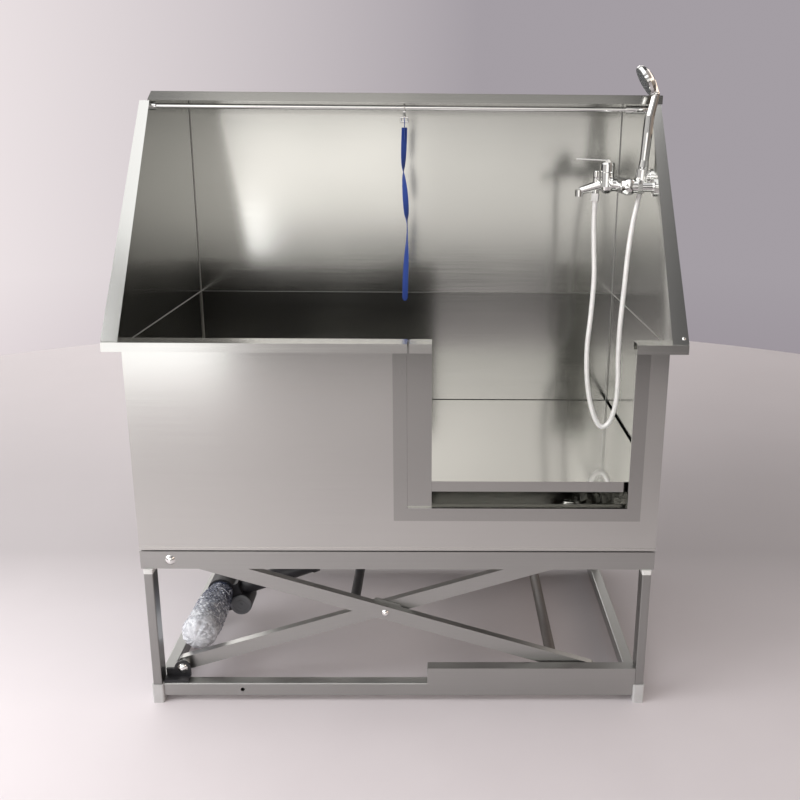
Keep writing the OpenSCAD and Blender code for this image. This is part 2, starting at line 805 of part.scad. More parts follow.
// Spout that slopes down to its mouth, with the hose's threaded outlet below
module mixer_spout() {
    droop = atan2(20, hub_x - spout_x);
    color(chrome) placed() difference() {
        union() {
            translate([hub_x - 17, mixer_y, mixer_z]) rotate([0, -90 - droop, 0])
                cylinder(r1 = 13, r2 = 9, h = hub_x - spout_x - 17, $fn = 48);
            translate([spout_x, mixer_y, mixer_z - 28]) cylinder(r = 10, h = 16, $fn = 48);
            translate([outlet_x, mixer_y, mixer_z - 20]) cylinder(r = 9, h = 18, $fn = 48);
            translate([outlet_x, mixer_y, mixer_z]) cylinder(r = 8, h = 15, $fn = 48);
        }
        translate([spout_x, mixer_y, mixer_z - 29]) cylinder(r = 7.5, h = 14, $fn = 48);
        translate([outlet_x, mixer_y, mixer_z + 1]) cylinder(r = 3.05, h = 15, $fn = 32);
        translate([hub_x, mixer_y, mixer_z - 30]) cylinder(r = 18 + run_play, h = 60, $fn = 48);
    }
}

// Cap that turns on the neck
module mixer_hub() {
    color(chrome) placed() translate([hub_x, mixer_y, hub_z + gap]) rotate_extrude($fn = 64)
        polygon([[0, 0], [17, 0], [18, 2], [18, 20], [16, 24], [8, 24], [8, 16], [0, 16]]);
}

// Flat lever that tilts in the cap's slot
module mixer_lever() {
    color(chrome) placed() translate([hub_x, mixer_y, hub_z + 26]) {
        difference() {
            union() {
                rotate([90, 0, 0]) translate([0, 0, -4]) cylinder(r = 6, h = 8, $fn = 32);
                translate([0, 0, 3.3]) rotate([0, -87.5, 0]) linear_extrude(78) round_rect(4, 12, 1.5);
            }
            translate([-12, -10, -12]) cube([24, 20, 7]);
        }
    }
}

// Knob that is pulled up to send the water to the hose
module diverter_knob() {
    color(chrome) placed() translate([outlet_x, mixer_y, mixer_z + 2]) {
        cylinder(r = 3, h = 16, $fn = 32);
        translate([0, 0, 13 + gap]) rotate_extrude($fn = 48)
            polygon([[0, 0], [6.5, 0], [8.5, 5], [8.5, 17], [7, 19], [0, 19]]);
    }
}

// Holder and handset share the handset's leaning axis
module on_handset() {
    translate([handset_x, handset_y, handset_z]) rotate([0, handset_tilt, 0]) children();
}

// Tapered ring on an arm from the wall
module handset_holder() {
    color(chrome) placed() difference() {
        union() {
            on_handset() cylinder(r = 18.5, h = 38, $fn = 48);
            rod_x_axis(17, handset_x, wall_in - 3, handset_y, handset_z + 19);
            rod_x_axis(21, wall_in - 4, wall_in, handset_y, handset_z + 19);
        }
        on_handset() translate([0, 0, -1]) cylinder(r1 = 10.2, r2 = 12.9, h = 40, $fn = 48);
    }
}

// Handle, neck, spine and head; the head's axis leans down into the tub
module handset() {
    color(chrome) placed() on_handset() {
        translate([0, 0, -14]) cylinder(r = 8, h = 15, $fn = 48);
        rotate_extrude($fn = 48) polygon([[0, -1], [9.8, -1], [12.4, 37], [13, 44], [11.5, 60], [12, 90],
            [12.5, 125], [11.8, 165], [0, 168]]);
        translate([0, 0, 150]) rotate([0, 8, 0]) cylinder(r1 = 11, r2 = 9, h = 65, $fn = 48);
        translate([8.9, 0, 215]) sphere(9.6, $fn = 48);
        translate([8.9, 0, 215]) rotate([0, -19, 0]) cylinder(r1 = 9, r2 = 6, h = 33, $fn = 48);
        translate(head_at) rotate([0, head_turn, 0]) rotate_extrude($fn = 64)
            polygon([[0, -16], [14, -15], [26, -11], [head_d / 2 - 4, -6], [head_d / 2, 1],
                [head_d / 2 - 1, 8], [head_d / 2 - 3, 9], [head_d / 2 - 3, 6], [0, 6]]);
    }
}

// Spray plate with raised nozzles
module spray_face() {
    color([0.4, 0.41, 0.42]) placed() on_handset() translate(head_at) rotate([0, head_turn, 0])
        translate([0, 0, 6]) {
            cylinder(r = head_d / 2 - 3.2, h = 2.5, $fn = 64);
            for (ring = [1 : 3]) for (k = [1 : ring * 6])
                rotate(k * 60 / ring) translate([ring * 9, 0, 2]) cylinder(r = 1.1, h = 2, $fn = 16);
        }
}

// Smooth point between the second and third of four points
function between(p, t) = 0.5 * (2 * p[1] + (p[2] - p[0]) * t
    + (2 * p[0] - 5 * p[1] + 4 * p[2] - p[3]) * t * t
    + (3 * p[1] - p[0] - 3 * p[2] + p[3]) * t * t * t);
function pick(list, i) = list[max(0, min(len(list) - 1, i))];
function smooth(list, steps) = concat([for (i = [0 : len(list) - 2], s = [0 : steps - 1])
    between([for (k = [-1 : 2]) pick(list, i + k)], s / steps)], [list[len(list) - 1]]);
function unit(v) = v / norm(v);
function heading(list, i) = unit(pick(list, i + 1) - pick(list, i - 1));
// Ring of points square to the route, set out from the depth axis
function hose_ring(list, i, r) = let (t = i == 0 || i == len(list) - 1
        ? [0, 0, list[1][2] < list[0][2] && i == 0 ? -1 : 1] : heading(list, i),
        side = unit(cross(t, [0, 1, 0])), out = cross(side, t))
    [for (k = [0 : hose_sides - 1]) let (a = 360 * k / hose_sides)
        list[i] + r * (side * cos(a) + out * sin(a))];

module shower_hose() {
    route = smooth(hose_route, hose_steps);
    rings = [for (i = [0 : len(route) - 1]) hose_ring(route, i, hose_d / 2)];
    last = (len(route) - 1) * hose_sides;
    color(pale) placed() polyhedron(
        points = [for (ring = rings, p = ring) p],
        faces = concat(
            [[for (k = [0 : hose_sides - 1]) k]],
            [[for (k = [hose_sides - 1 : -1 : 0]) last + k]],
            [for (i = [0 : len(route) - 2], k = [0 : hose_sides - 1], half = [0, 1])
                let (a = i * hose_sides + k, b = i * hose_sides + (k + 1) % hose_sides)
                half == 0 ? [a, a + hose_sides, b + hose_sides] : [a, b + hose_sides, b]]));
}

// Coupling nuts at the mixer's outlet and under the handset
module hose_nuts() {
    start = hose_route[0];
    end = hose_route[len(hose_route) - 1];
    color(chrome) placed() {
        translate(start) cylinder(r = 10, h = mixer_z - 20 - start[2], $fn = 6);
        translate(end) cylinder(r = 9.5, h = 4, $fn = 48);
    }
}

// Leash on its snap hook

// Wire bow round the rod, open at the front, with a swivel shank and an eye below
module snap_hook() {
    wire = hook_wire / 2;
    color(chrome) placed() translate([hook_x, rod_y, hook_z]) {
        rotate([0, 90, 0]) rotate([0, 0, -50]) rotate_extrude(angle = 280, $fn = 48)
            translate([hook_r, 0]) circle(wire, $fn = 24);
        translate([0, 0, -18]) cylinder(r = 3, h = 8, $fn = 32);
        for (side = [-1, 1]) translate([side * 9, 0, -29]) {
            cylinder(r = wire, h = 11, $fn = 24);
        }
        rod_x_axis(wire, -9, 9, 0, -18);
        rod_x_axis(wire, -9, 9, 0, -29);
        for (side = [-1, 1], z = [-18, -29]) translate([side * 9, 0, z]) sphere(wire, $fn = 24);
    }
}

// Sprung gate across the bow's mouth
module hook_gate() {
    mouth = hook_r * sin(40);
    low = gap + 1.3 - mouth;
    color(chrome) placed() translate([hook_x, rod_y - hook_r * cos(40), hook_z]) {
        rod_x_axis(1.9, -2.6, 2.6, 0, low + 1.9);
        translate([0, 0, low + 1.9]) cylinder(r = 1.6, h = -2 * low - 1.9, $fn = 32);
    }
}

// Webbing that turns as it hangs, with a sewn loop round the eye
module leash_strap() {
    bar_r = hook_wire / 2;
    color([0.1, 0.22, 0.65]) placed() translate([hook_x, rod_y, bar_z]) {
        difference() {
            rod_x_axis(bar_r + 2.6, -6, 6, 0, 0);
            rod_x_axis(bar_r + gap, -7, 7, 0, 0);
        }
        translate([0, 0, -14]) difference() {
            linear_extrude(14) square([12, 4.6], center = true);
            translate([-7, 0, 14]) rotate([0, 90, 0]) cylinder(r = bar_r + gap + 0.5, h = 14, $fn = 48);
        }
        translate([0, 0, -strap_len]) linear_extrude(strap_len - 14 + eps, twist = 200, slices = 24)
            square([strap_w, 3], center = true);
    }
}

// Drive

// Gear casing, tail eye and outer tube of the linear drive
module drive_housing() {
    color(black) placed() difference() {
        union() {
            on_drive() {
                rod_y_axis(13, -9, 9, 0, 0);
                block([0, -9, -9], [50, 9, 9]);
                rod_y_axis(39, -38, 32, motor_at[0], motor_at[1]);
                rod_y_axis(30, -38, 32, cover_at[0], cover_at[1]);
                block([38, -38, -40], [112, 32, 30]);
                rod_x_axis(tube_d / 2, 100, 330, 0, 0);
                rod_x_axis(tube_d / 2 + 3, 318, 334, 0, 0);
            }
        }
        on_drive() {
            rod_y_axis(drive_pin_d / 2 + run_play, -10, 10, 0, 0);
            rod_x_axis(rod_d / 2 + run_play, 140, 335, 0, 0);
        }
    }
}

// Round cover of the gear casing with raised rings
module drive_cover() {
    color([0.5, 0.51, 0.53]) placed() on_drive() translate([cover_at[0], -38, cover_at[1]])
        rotate([90, 0, 0]) rotate_extrude($fn = 64)
            polygon([[0, 0], [29, 0], [29, 5], [26, 7], [20, 7], [20, 5.5], [15, 5.5],
                [15, 7], [9, 7], [9, 5.5], [5, 5.5], [5, 8], [0, 8]]);
}

// Motor across the casing with a rounded end cap
module drive_motor() {
    r = motor_d / 2;
    color([0.2, 0.21, 0.24]) placed() on_drive() translate([motor_at[0], -38, motor_at[1]])
        rotate([90, 0, 0]) rotate_extrude($fn = 64)
            polygon([[0, 0], [r, 0], [r, motor_len - 20], [r - 3, motor_len - 8], [r - 12, motor_len],
                [9, motor_len], [9, motor_len + 5], [0, motor_len + 5]]);
}

// Packing film that is still on the motor: a thin loose bag round it, closed at its end
module motor_wrap() {
    r = motor_d / 2 + 1;
    film = 1.5;
    belly = r + film_slack;
    long = motor_len + 33;
    color([0.8, 0.83, 0.88, 0.6]) placed() on_drive() translate([motor_at[0], -40.5, motor_at[1]])
        rotate([0, 0, -film_lean]) rotate([90, 0, 0]) rotate_extrude($fn = 64)
            polygon([[r, 0], [r + film, 0], [r + film + 0.5, 8], [belly - 5, 45], [belly, 100],
                [belly + 0.5, 160], [belly - 0.5, long - 38], [belly - 8, long - 17], [r - 10, long - 5],
                [0, long], [0, long - film], [r - 10.5, long - film - 5], [belly - 9, long - film - 17],
                [belly - film - 0.5, long - film - 38], [belly - film + 0.5, 160],
                [belly - film, 100], [belly - film - 5, 45], [r + 0.5, 10]]);
}

// Chrome rod with the eye that rides the journal with play
module drive_rod() {
    eye_bore = journal_d / 2 + crank_play;
    color(chrome) placed() on_drive() difference() {
        union() {
            rod_x_axis(rod_d / 2, 200, drive_len - eye_bore - 4, 0, 0);
            rod_y_axis(eye_bore + 8, -11, 11, drive_len, 0);
        }
        rod_y_axis(eye_bore, -12, 12, drive_len, 0);
    }
}

base_rails();
posts();
rest_pads();
feet();
lower_tracks();
lower_brackets();
lower_pins();
drive_bracket();
drive_tail_pin();
inner_arms();
inner_tie();
centre_bolts();
upper_axles();
outer_arms();
outer_tie();
lift_tube();
lower_axles();
wear_plates();
lower_rollers();
upper_rollers();
upper_ring();
ring_ends();
upper_bolts();
basin_floor();
front_panel();
back_panel();
end_panels();
front_rim();
door_trim();
door_guide();
splash_back();
splash_sides();
top_shelf();
leash_rod();
rod_sockets();
drain_body();
platform_ledges();
wall_unions();
mixer_body();
mixer_spout();
handset_holder();
shower_hose();
hose_nuts();
drive_housing();
drive_cover();
drive_motor();
motor_wrap();
drive_rod();
sliding_door();
door_cap();
platform();
strainer();
mixer_hub();
mixer_lever();
diverter_knob();
handset();
spray_face();
snap_hook();
hook_gate();
leash_strap();
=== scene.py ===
# Looks of the dog grooming tub: finishes, leash, hose, packing film, small fasteners and a plain studio.
# Metres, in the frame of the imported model: X to the right, the doorway faces -Y, Z up.
import json
import math

import bpy
import numpy as np
from bpy.props import BoolProperty, FloatProperty, FloatVectorProperty, IntProperty, PointerProperty
from mathutils import Matrix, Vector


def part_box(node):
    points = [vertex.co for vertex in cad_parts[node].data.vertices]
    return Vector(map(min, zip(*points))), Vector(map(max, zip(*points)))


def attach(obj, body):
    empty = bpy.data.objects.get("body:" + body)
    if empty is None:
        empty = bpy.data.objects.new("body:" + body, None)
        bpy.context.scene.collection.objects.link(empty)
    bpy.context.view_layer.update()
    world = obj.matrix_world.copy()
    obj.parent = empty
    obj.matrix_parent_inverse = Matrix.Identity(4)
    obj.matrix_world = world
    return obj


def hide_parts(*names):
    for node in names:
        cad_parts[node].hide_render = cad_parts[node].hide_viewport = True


bl_info = {
    "name": "Dog grooming tub",
    "version": (1, 0, 0),
    "blender": (4, 5, 0),
    "location": "3D View > Sidebar > Tub",
    "description": "Dresses the packed dog grooming tub with finishes, soft goods and small fittings",
    "category": "Object",
}

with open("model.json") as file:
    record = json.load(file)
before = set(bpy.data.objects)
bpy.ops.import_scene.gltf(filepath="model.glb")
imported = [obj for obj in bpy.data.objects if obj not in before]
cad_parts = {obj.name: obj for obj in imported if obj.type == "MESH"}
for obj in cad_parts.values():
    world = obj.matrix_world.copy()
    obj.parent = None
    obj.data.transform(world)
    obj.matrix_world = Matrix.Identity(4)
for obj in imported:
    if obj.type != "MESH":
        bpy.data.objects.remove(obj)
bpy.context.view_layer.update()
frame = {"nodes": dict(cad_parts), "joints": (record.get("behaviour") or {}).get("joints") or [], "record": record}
JOINTS = {joint["name"]: joint for joint in frame["joints"]}
SLOT_OF = {part["node"]: part["material_slot"] for part in frame["record"]["subparts"]}

# Route of the shower hose, as in the part's source, in millimetres before the source centres the tub in
# depth, and how far it is then shifted
HOSE_ROUTE = np.array([
    [482, -40, 1211], [482, -40, 1190], [482, -42, 1150], [484, -50, 1090], [486, -60, 1020],
    [481, -70, 930], [474, -80, 850], [475, -88, 780], [482, -94, 725], [495, -98, 675],
    [515, -100, 641], [537, -101, 652], [551, -101, 700], [554, -99, 760], [552, -95, 830],
    [553, -91, 910], [559, -85, 1000], [565, -78, 1090], [574, -69, 1160], [583, -62, 1205],
    [588, -60, 1232]], float)
DEPTH_SHIFT = 10.5

# Camera fitted to the photograph's corners: its place in metres, its turn, nod and lean in radians, and
# the picture's size, focal length and middle in pixels
CAMERA_PLACE = (0.0922, -2.3732, 1.3803)
CAMERA_TURN, CAMERA_NOD, CAMERA_LEAN = -0.0145, -0.2751, -0.0086
PICTURE_PX, FOCAL_PX, MIDDLE_PX = 800, 925.4, (450.6, 390.4)
SENSOR_MM = 36

# Twist of the leash in degrees and its sway in metres, by the share of its length from the top
TWIST = np.array([(0, 20), (0.08, 10), (0.16, 30), (0.22, 62), (0.27, 118), (0.34, 150), (0.48, 215),
                  (0.53, 268), (0.64, 285), (0.74, 325), (0.88, 352), (1, 382)])
SWAY = np.array([(0, 0), (0.24, -0.004), (0.34, 0), (0.56, 0.006), (0.7, 0.004), (0.86, 0.0005),
                 (1, -0.001)])

# Outline of the packing film: distance from the motor's collar and radius, in millimetres
FILM_OUTLINE = np.array([(0, 35.3), (8, 35.9), (45, 41.8), (100, 46.8), (160, 47.3), (205, 46.2),
                         (226, 38.5), (238, 23.5), (242, 3)])

# Room that the steel mirrors: stops of (place, colour), the place from 0 straight down to 1 straight up
# and from 0 at the left to 1 at the right. The bright band in the height is what the level sheets
# mirror, and the two dark strips in the width edge the chrome.
ROOM_HEIGHT = ((0, (0.5, 0.48, 0.49)), (0.4, (0.42, 0.41, 0.41)), (0.44, (0.3, 0.3, 0.3)),
               (0.475, (0.95, 0.94, 0.93)), (0.56, (0.9, 0.9, 0.89)), (0.61, (1.1, 1.1, 1.08)),
               (0.645, (5.8, 5.7, 5.6)), (0.70, (5.8, 5.7, 5.6)), (0.75, (1.2, 1.2, 1.2)),
               (1, (1.55, 1.55, 1.57)))
ROOM_WIDTH = ((0, (1.25, 1.22, 1.2)), (0.305, (1.22, 1.2, 1.18)), (0.315, (0.2, 0.2, 0.2)),
              (0.335, (0.2, 0.2, 0.2)), (0.345, (1.2, 1.18, 1.17)), (0.6, (0.6, 0.58, 0.57)),
              (0.63, (0.12, 0.12, 0.12)), (0.69, (0.12, 0.12, 0.12)), (0.71, (0.56, 0.52, 0.5)),
              (1, (0.64, 0.52, 0.43)))

# Backdrop's shade below the horizon, by the same place in the height
BACKDROP_HEIGHT = ((0.30, (0.6, 0.56, 0.6)), (0.37, (0.86, 0.84, 0.86)), (0.43, (1, 1, 1)))

# Painted shade of the floor across and along, by place in metres
FLOOR_SHADE_ACROSS = ((-1.2, 1.0), (-0.5, 0.87), (0.1, 0.78), (1.1, 0.72))
FLOOR_SHADE_ALONG = ((-4.2, 0.5), (-3.0, 0.68), (-2.0, 0.74), (-0.9, 1.0), (-0.4, 1.0), (0.1, 0.8),
               (0.5, 0.58), (1.2, 0.62), (2.4, 0.8), (3.8, 0.95))

# Colours of the lamps
WARM, PLAIN = (1, 0.965, 0.915), (1, 1, 1)


# Sizes and colours that a user may change

class TubFinishSettings(bpy.types.PropertyGroup):
    steel: FloatVectorProperty(name="Sheet steel", description="Colour of the brushed sheet",
        subtype="COLOR", size=3, min=0, max=1, default=(0.556, 0.556, 0.536))
    frame_steel: FloatVectorProperty(name="Frame steel", description="Colour of the frame's tubes",
        subtype="COLOR", size=3, min=0, max=1, default=(0.385, 0.385, 0.375))
    black: FloatVectorProperty(name="Black paint", description="Colour of the painted brackets and ties",
        subtype="COLOR", size=3, min=0, max=1, default=(0.018, 0.018, 0.021))
    webbing: FloatVectorProperty(name="Webbing", description="Colour of the leash",
        subtype="COLOR", size=3, min=0, max=1, default=(0.028, 0.07, 0.33))
    grain: FloatProperty(name="Grain", description="Strokes of the brushing in a metre",
        min=50, max=2000, default=900)
    sheet_roughness: FloatProperty(name="Sheet roughness", description="Roughness of the brushed sheet",
        min=0.05, max=0.8, default=0.15)
    streak: FloatProperty(name="Streak", description="How far brushing draws reflections out",
        min=0, max=0.95, default=0.4)


class TubSoftSettings(bpy.types.PropertyGroup):
    hose_diameter: FloatProperty(name="Hose diameter", description="Outer diameter of the hose",
        subtype="DISTANCE", unit="LENGTH", min=0.010, max=0.016, default=0.013)
    rib_pitch: FloatProperty(name="Rib pitch", description="Distance from rib to rib of the hose",
        subtype="DISTANCE", unit="LENGTH", min=0.003, max=0.010, default=0.0055)
    strap_width: FloatProperty(name="Strap width", description="Width of the leash webbing",
        subtype="DISTANCE", unit="LENGTH", min=0.010, max=0.015, default=0.0146)
    strap_thickness: FloatProperty(name="Strap thickness", description="Thickness of the webbing",
        subtype="DISTANCE", unit="LENGTH", min=0.001, max=0.003, default=0.0021)
    bubbles_round: IntProperty(name="Bubbles round", description="Bubbles round the packing film",
        min=8, max=40, default=24)


class TubFastenerSettings(bpy.types.PropertyGroup):
    rivet_radius: FloatProperty(name="Rivet radius", description="Radius of a rivet's head",
        subtype="DISTANCE", unit="LENGTH", min=0.002, max=0.008, default=0.0045)
    beads: BoolProperty(name="Seam beads", description="Draw the beads above the basin", default=True)
    bead_height: FloatProperty(name="Bead height", description="Height of a seam's bead",
        subtype="DISTANCE", unit="LENGTH", min=0.001, max=0.006, default=0.0025)


class TubStageSettings(bpy.types.PropertyGroup):
    key: FloatProperty(name="Key light", description="Power of the light behind the camera at the left",
        min=0, max=2000, default=6, unit="POWER")
    second: FloatProperty(name="Second light", description="Power of the light beside the key light",
        min=0, max=2000, default=4.5, unit="POWER")
    fill: FloatProperty(name="Fill light", description="Power of the low light at the left",
        min=0, max=2000, default=6, unit="POWER")
    top: FloatProperty(name="Top light", description="Power of the light above the tub",
        min=0, max=2000, default=26, unit="POWER")
    side: FloatProperty(name="Side light", description="Power of the light high up at the left",
        min=0, max=2000, default=78, unit="POWER")
    room: FloatProperty(name="Room light", description="Strength of the light all round",
        min=0, max=3, default=0.5)
    floor_radius: FloatProperty(name="Floor radius", description="Radius of the round floor",
        subtype="DISTANCE", unit="LENGTH", min=2, max=10, default=4.2)
    backdrop_left: FloatVectorProperty(name="Backdrop left", description="Colour at the left",
        subtype="COLOR", size=3, min=0, max=1, default=(0.85, 0.78, 0.79))
    backdrop_right: FloatVectorProperty(name="Backdrop right", description="Colour at the right",
        subtype="COLOR", size=3, min=0, max=1, default=(0.37, 0.34, 0.37))


# Meshes from grids

def add_mesh(name, points, faces, uv=None, smooth_angle=40):
    """Object from points and faces, with edges sharper than an angle in degrees kept sharp. A closed
    form whose signed volume, the sum of the tetrahedra from the origin to its triangles, is negative
    has its faces turned over."""
    points = np.asarray(points, float)
    quads = np.asarray([f for f in faces if len(f) == 4], int).reshape(-1, 4)
    tris = np.asarray([f for f in faces if len(f) == 3], int).reshape(-1, 3)
    both = np.vstack([quads[:, [0, 1, 2]], quads[:, [0, 2, 3]], tris])
    a, b, c = points[both[:, 0]], points[both[:, 1]], points[both[:, 2]]
    if np.einsum("ij,ij->i", a, np.cross(b, c)).sum() < 0:
        faces = [tuple(reversed(f)) for f in faces]
    mesh = bpy.data.meshes.new(name)
    mesh.from_pydata(points.tolist(), [], [tuple(int(i) for i in f) for f in faces])
    if uv is not None:
        layer = mesh.uv_layers.new(name="UVMap")
        corner = np.empty(len(mesh.loops), int)
        mesh.loops.foreach_get("vertex_index", corner)
        layer.data.foreach_set("uv", np.asarray(uv, float)[corner].ravel())
    mesh.validate()
    mesh.shade_smooth()
    mesh.set_sharp_from_angle(angle=math.radians(smooth_angle))
    piece = bpy.data.objects.new(name, mesh)
    bpy.context.scene.collection.objects.link(piece)
    return piece


def grid_faces(rows, cols):
    """Quads between the neighbouring points of a grid whose rows are closed rings."""
    i, j = (x.ravel() for x in np.meshgrid(np.arange(rows - 1), np.arange(cols), indexing="ij"))
    after = (j + 1) % cols
    low, high = i * cols, (i + 1) * cols
    return np.stack([low + j, low + after, high + after, high + j], 1).tolist()


def end_fan(cols, base, middle, turn_over=False):
    """Triangles from the ring that starts at point base to one middle point."""
    pairs = [(base + j, base + (j + 1) % cols) for j in range(cols)]
    return [(middle, b, a) if turn_over else (middle, a, b) for a, b in pairs]


def capped(values):
    """The rows of a grid of rings, then the middles of its first and last ring."""
    return np.vstack([values.reshape(-1, values.shape[-1]), values[0].mean(0), values[-1].mean(0)])


def capped_faces(rows, cols):
    """Quads between the rings of a capped grid, and a fan to the middle of each end."""
    count = rows * cols
    first, last = end_fan(cols, 0, count, True), end_fan(cols, count - cols, count + 1)
    return grid_faces(rows, cols) + first + last


def closed_sweep(name, rings, uv=None, smooth_angle=40):
    """Closed form from a grid of rings: quads between rings, and a fan to each end's middle."""
    return add_mesh(name, capped(rings), capped_faces(*rings.shape[:2]),
                    None if uv is None else capped(uv), smooth_angle)


def turned(profile, sides):
    """Grid of a profile of (radius, height) turned round Z: the point at angle a is
    (radius cos a, radius sin a, height)."""
    profile = np.asarray(profile, float)
    a = np.linspace(0, 2 * math.pi, sides, endpoint=False)
    ring = np.stack([np.cos(a), np.sin(a)], 1)
    flat = profile[:, None, :1] * ring[None]
    return np.concatenate([flat, np.broadcast_to(profile[:, None, 1:], flat[..., :1].shape)], 2)


def placed_copies(grid, places, axes):
    """Copies of a grid with its Z turned to each axis and its origin moved to each place."""
    made = []
    for place, axis in zip(places, axes):
        z = np.asarray(axis, float) / np.linalg.norm(axis)
        hint = np.array([0, 0, 1.0]) if abs(z[2]) < 0.9 else np.array([1.0, 0, 0])
        x = np.cross(hint, z)
        x /= np.linalg.norm(x)
        made.append(grid @ np.stack([x, np.cross(z, x), z]) + np.asarray(place, float))
    return made


def many(name, grids):
    """One object from several closed grids of rings."""
    points, faces, start = [], [], 0
    for rings in grids:
        points.append(capped(rings))
        faces += [tuple(start + i for i in f) for f in capped_faces(*rings.shape[:2])]
        start += len(points[-1])
    return add_mesh(name, np.vstack(points), faces)


def smooth_line(route, steps):
    """Line through the route's points: between two of them it is the cubic that passes through
    both with half the step between their neighbours as its slope at each."""
    p = np.vstack([route[:1], route, route[-1:]])
    t = np.linspace(0, 1, steps, endpoint=False)[:, None, None]
    a, b, c, d = p[:-3], p[1:-2], p[2:-1], p[3:]
    part = 0.5 * (2 * b + (c - a) * t + (2 * a - 5 * b + 4 * c - d) * t**2
                  + (3 * b - a - 3 * c + d) * t**3)
    return np.vstack([part.transpose(1, 0, 2).reshape(-1, 3), route[-1:]])


def even_line(line, step):
    """The same line with its points an equal step apart, its length, and each point's distance
    along it."""
    reach = np.concatenate([[0], np.cumsum(np.linalg.norm(np.diff(line, axis=0), axis=1))])
    at = np.linspace(0, reach[-1], max(2, int(round(reach[-1] / step)) + 1))
    return np.stack([np.interp(at, reach, line[:, k]) for k in range(3)], 1), reach[-1], at


def swept(line, sections, hint):
    """Grid of sections (rows, cols, 2) set square to a line; the first number of a section point
    goes to the side, across the line and the hint, and the second out along the hint."""
    t = np.gradient(line, axis=0)
    t /= np.linalg.norm(t, axis=1)[:, None]
    side = np.cross(t, hint)
    side /= np.linalg.norm(side, axis=1)[:, None]
    out = np.cross(side, t)
    return line[:, None] + sections[..., :1] * side[:, None] + sections[..., 1:] * out[:, None]


def smoothed(values, width):
    """Mean of each value's neighbours under a bell of an odd width, with the ends held."""
    bell = np.hanning(width)
    return np.convolve(np.pad(values, width // 2, mode="edge"), bell / bell.sum(), "valid")


# Finishes

def ramp(nodes, links, value, stops):
    """Colour that follows a value from 0 to 1 through stops of (place, colour)."""
    node = nodes.new("ShaderNodeValToRGB")
    links.new(value, node.inputs["Fac"])
    while len(node.color_ramp.elements) < len(stops):
        node.color_ramp.elements.new(0.5)
    for element, (at, colour) in zip(node.color_ramp.elements, stops):
        element.position = at
        element.color = (*colour, 1)
    return node.outputs["Color"]


def product(nodes, links, first, second):
    """Colour that is the product of two colours."""
    node = nodes.new("ShaderNodeVectorMath")
    node.operation = "MULTIPLY"
    links.new(first, node.inputs[0])
    links.new(second, node.inputs[1])
    return node.outputs["Vector"]


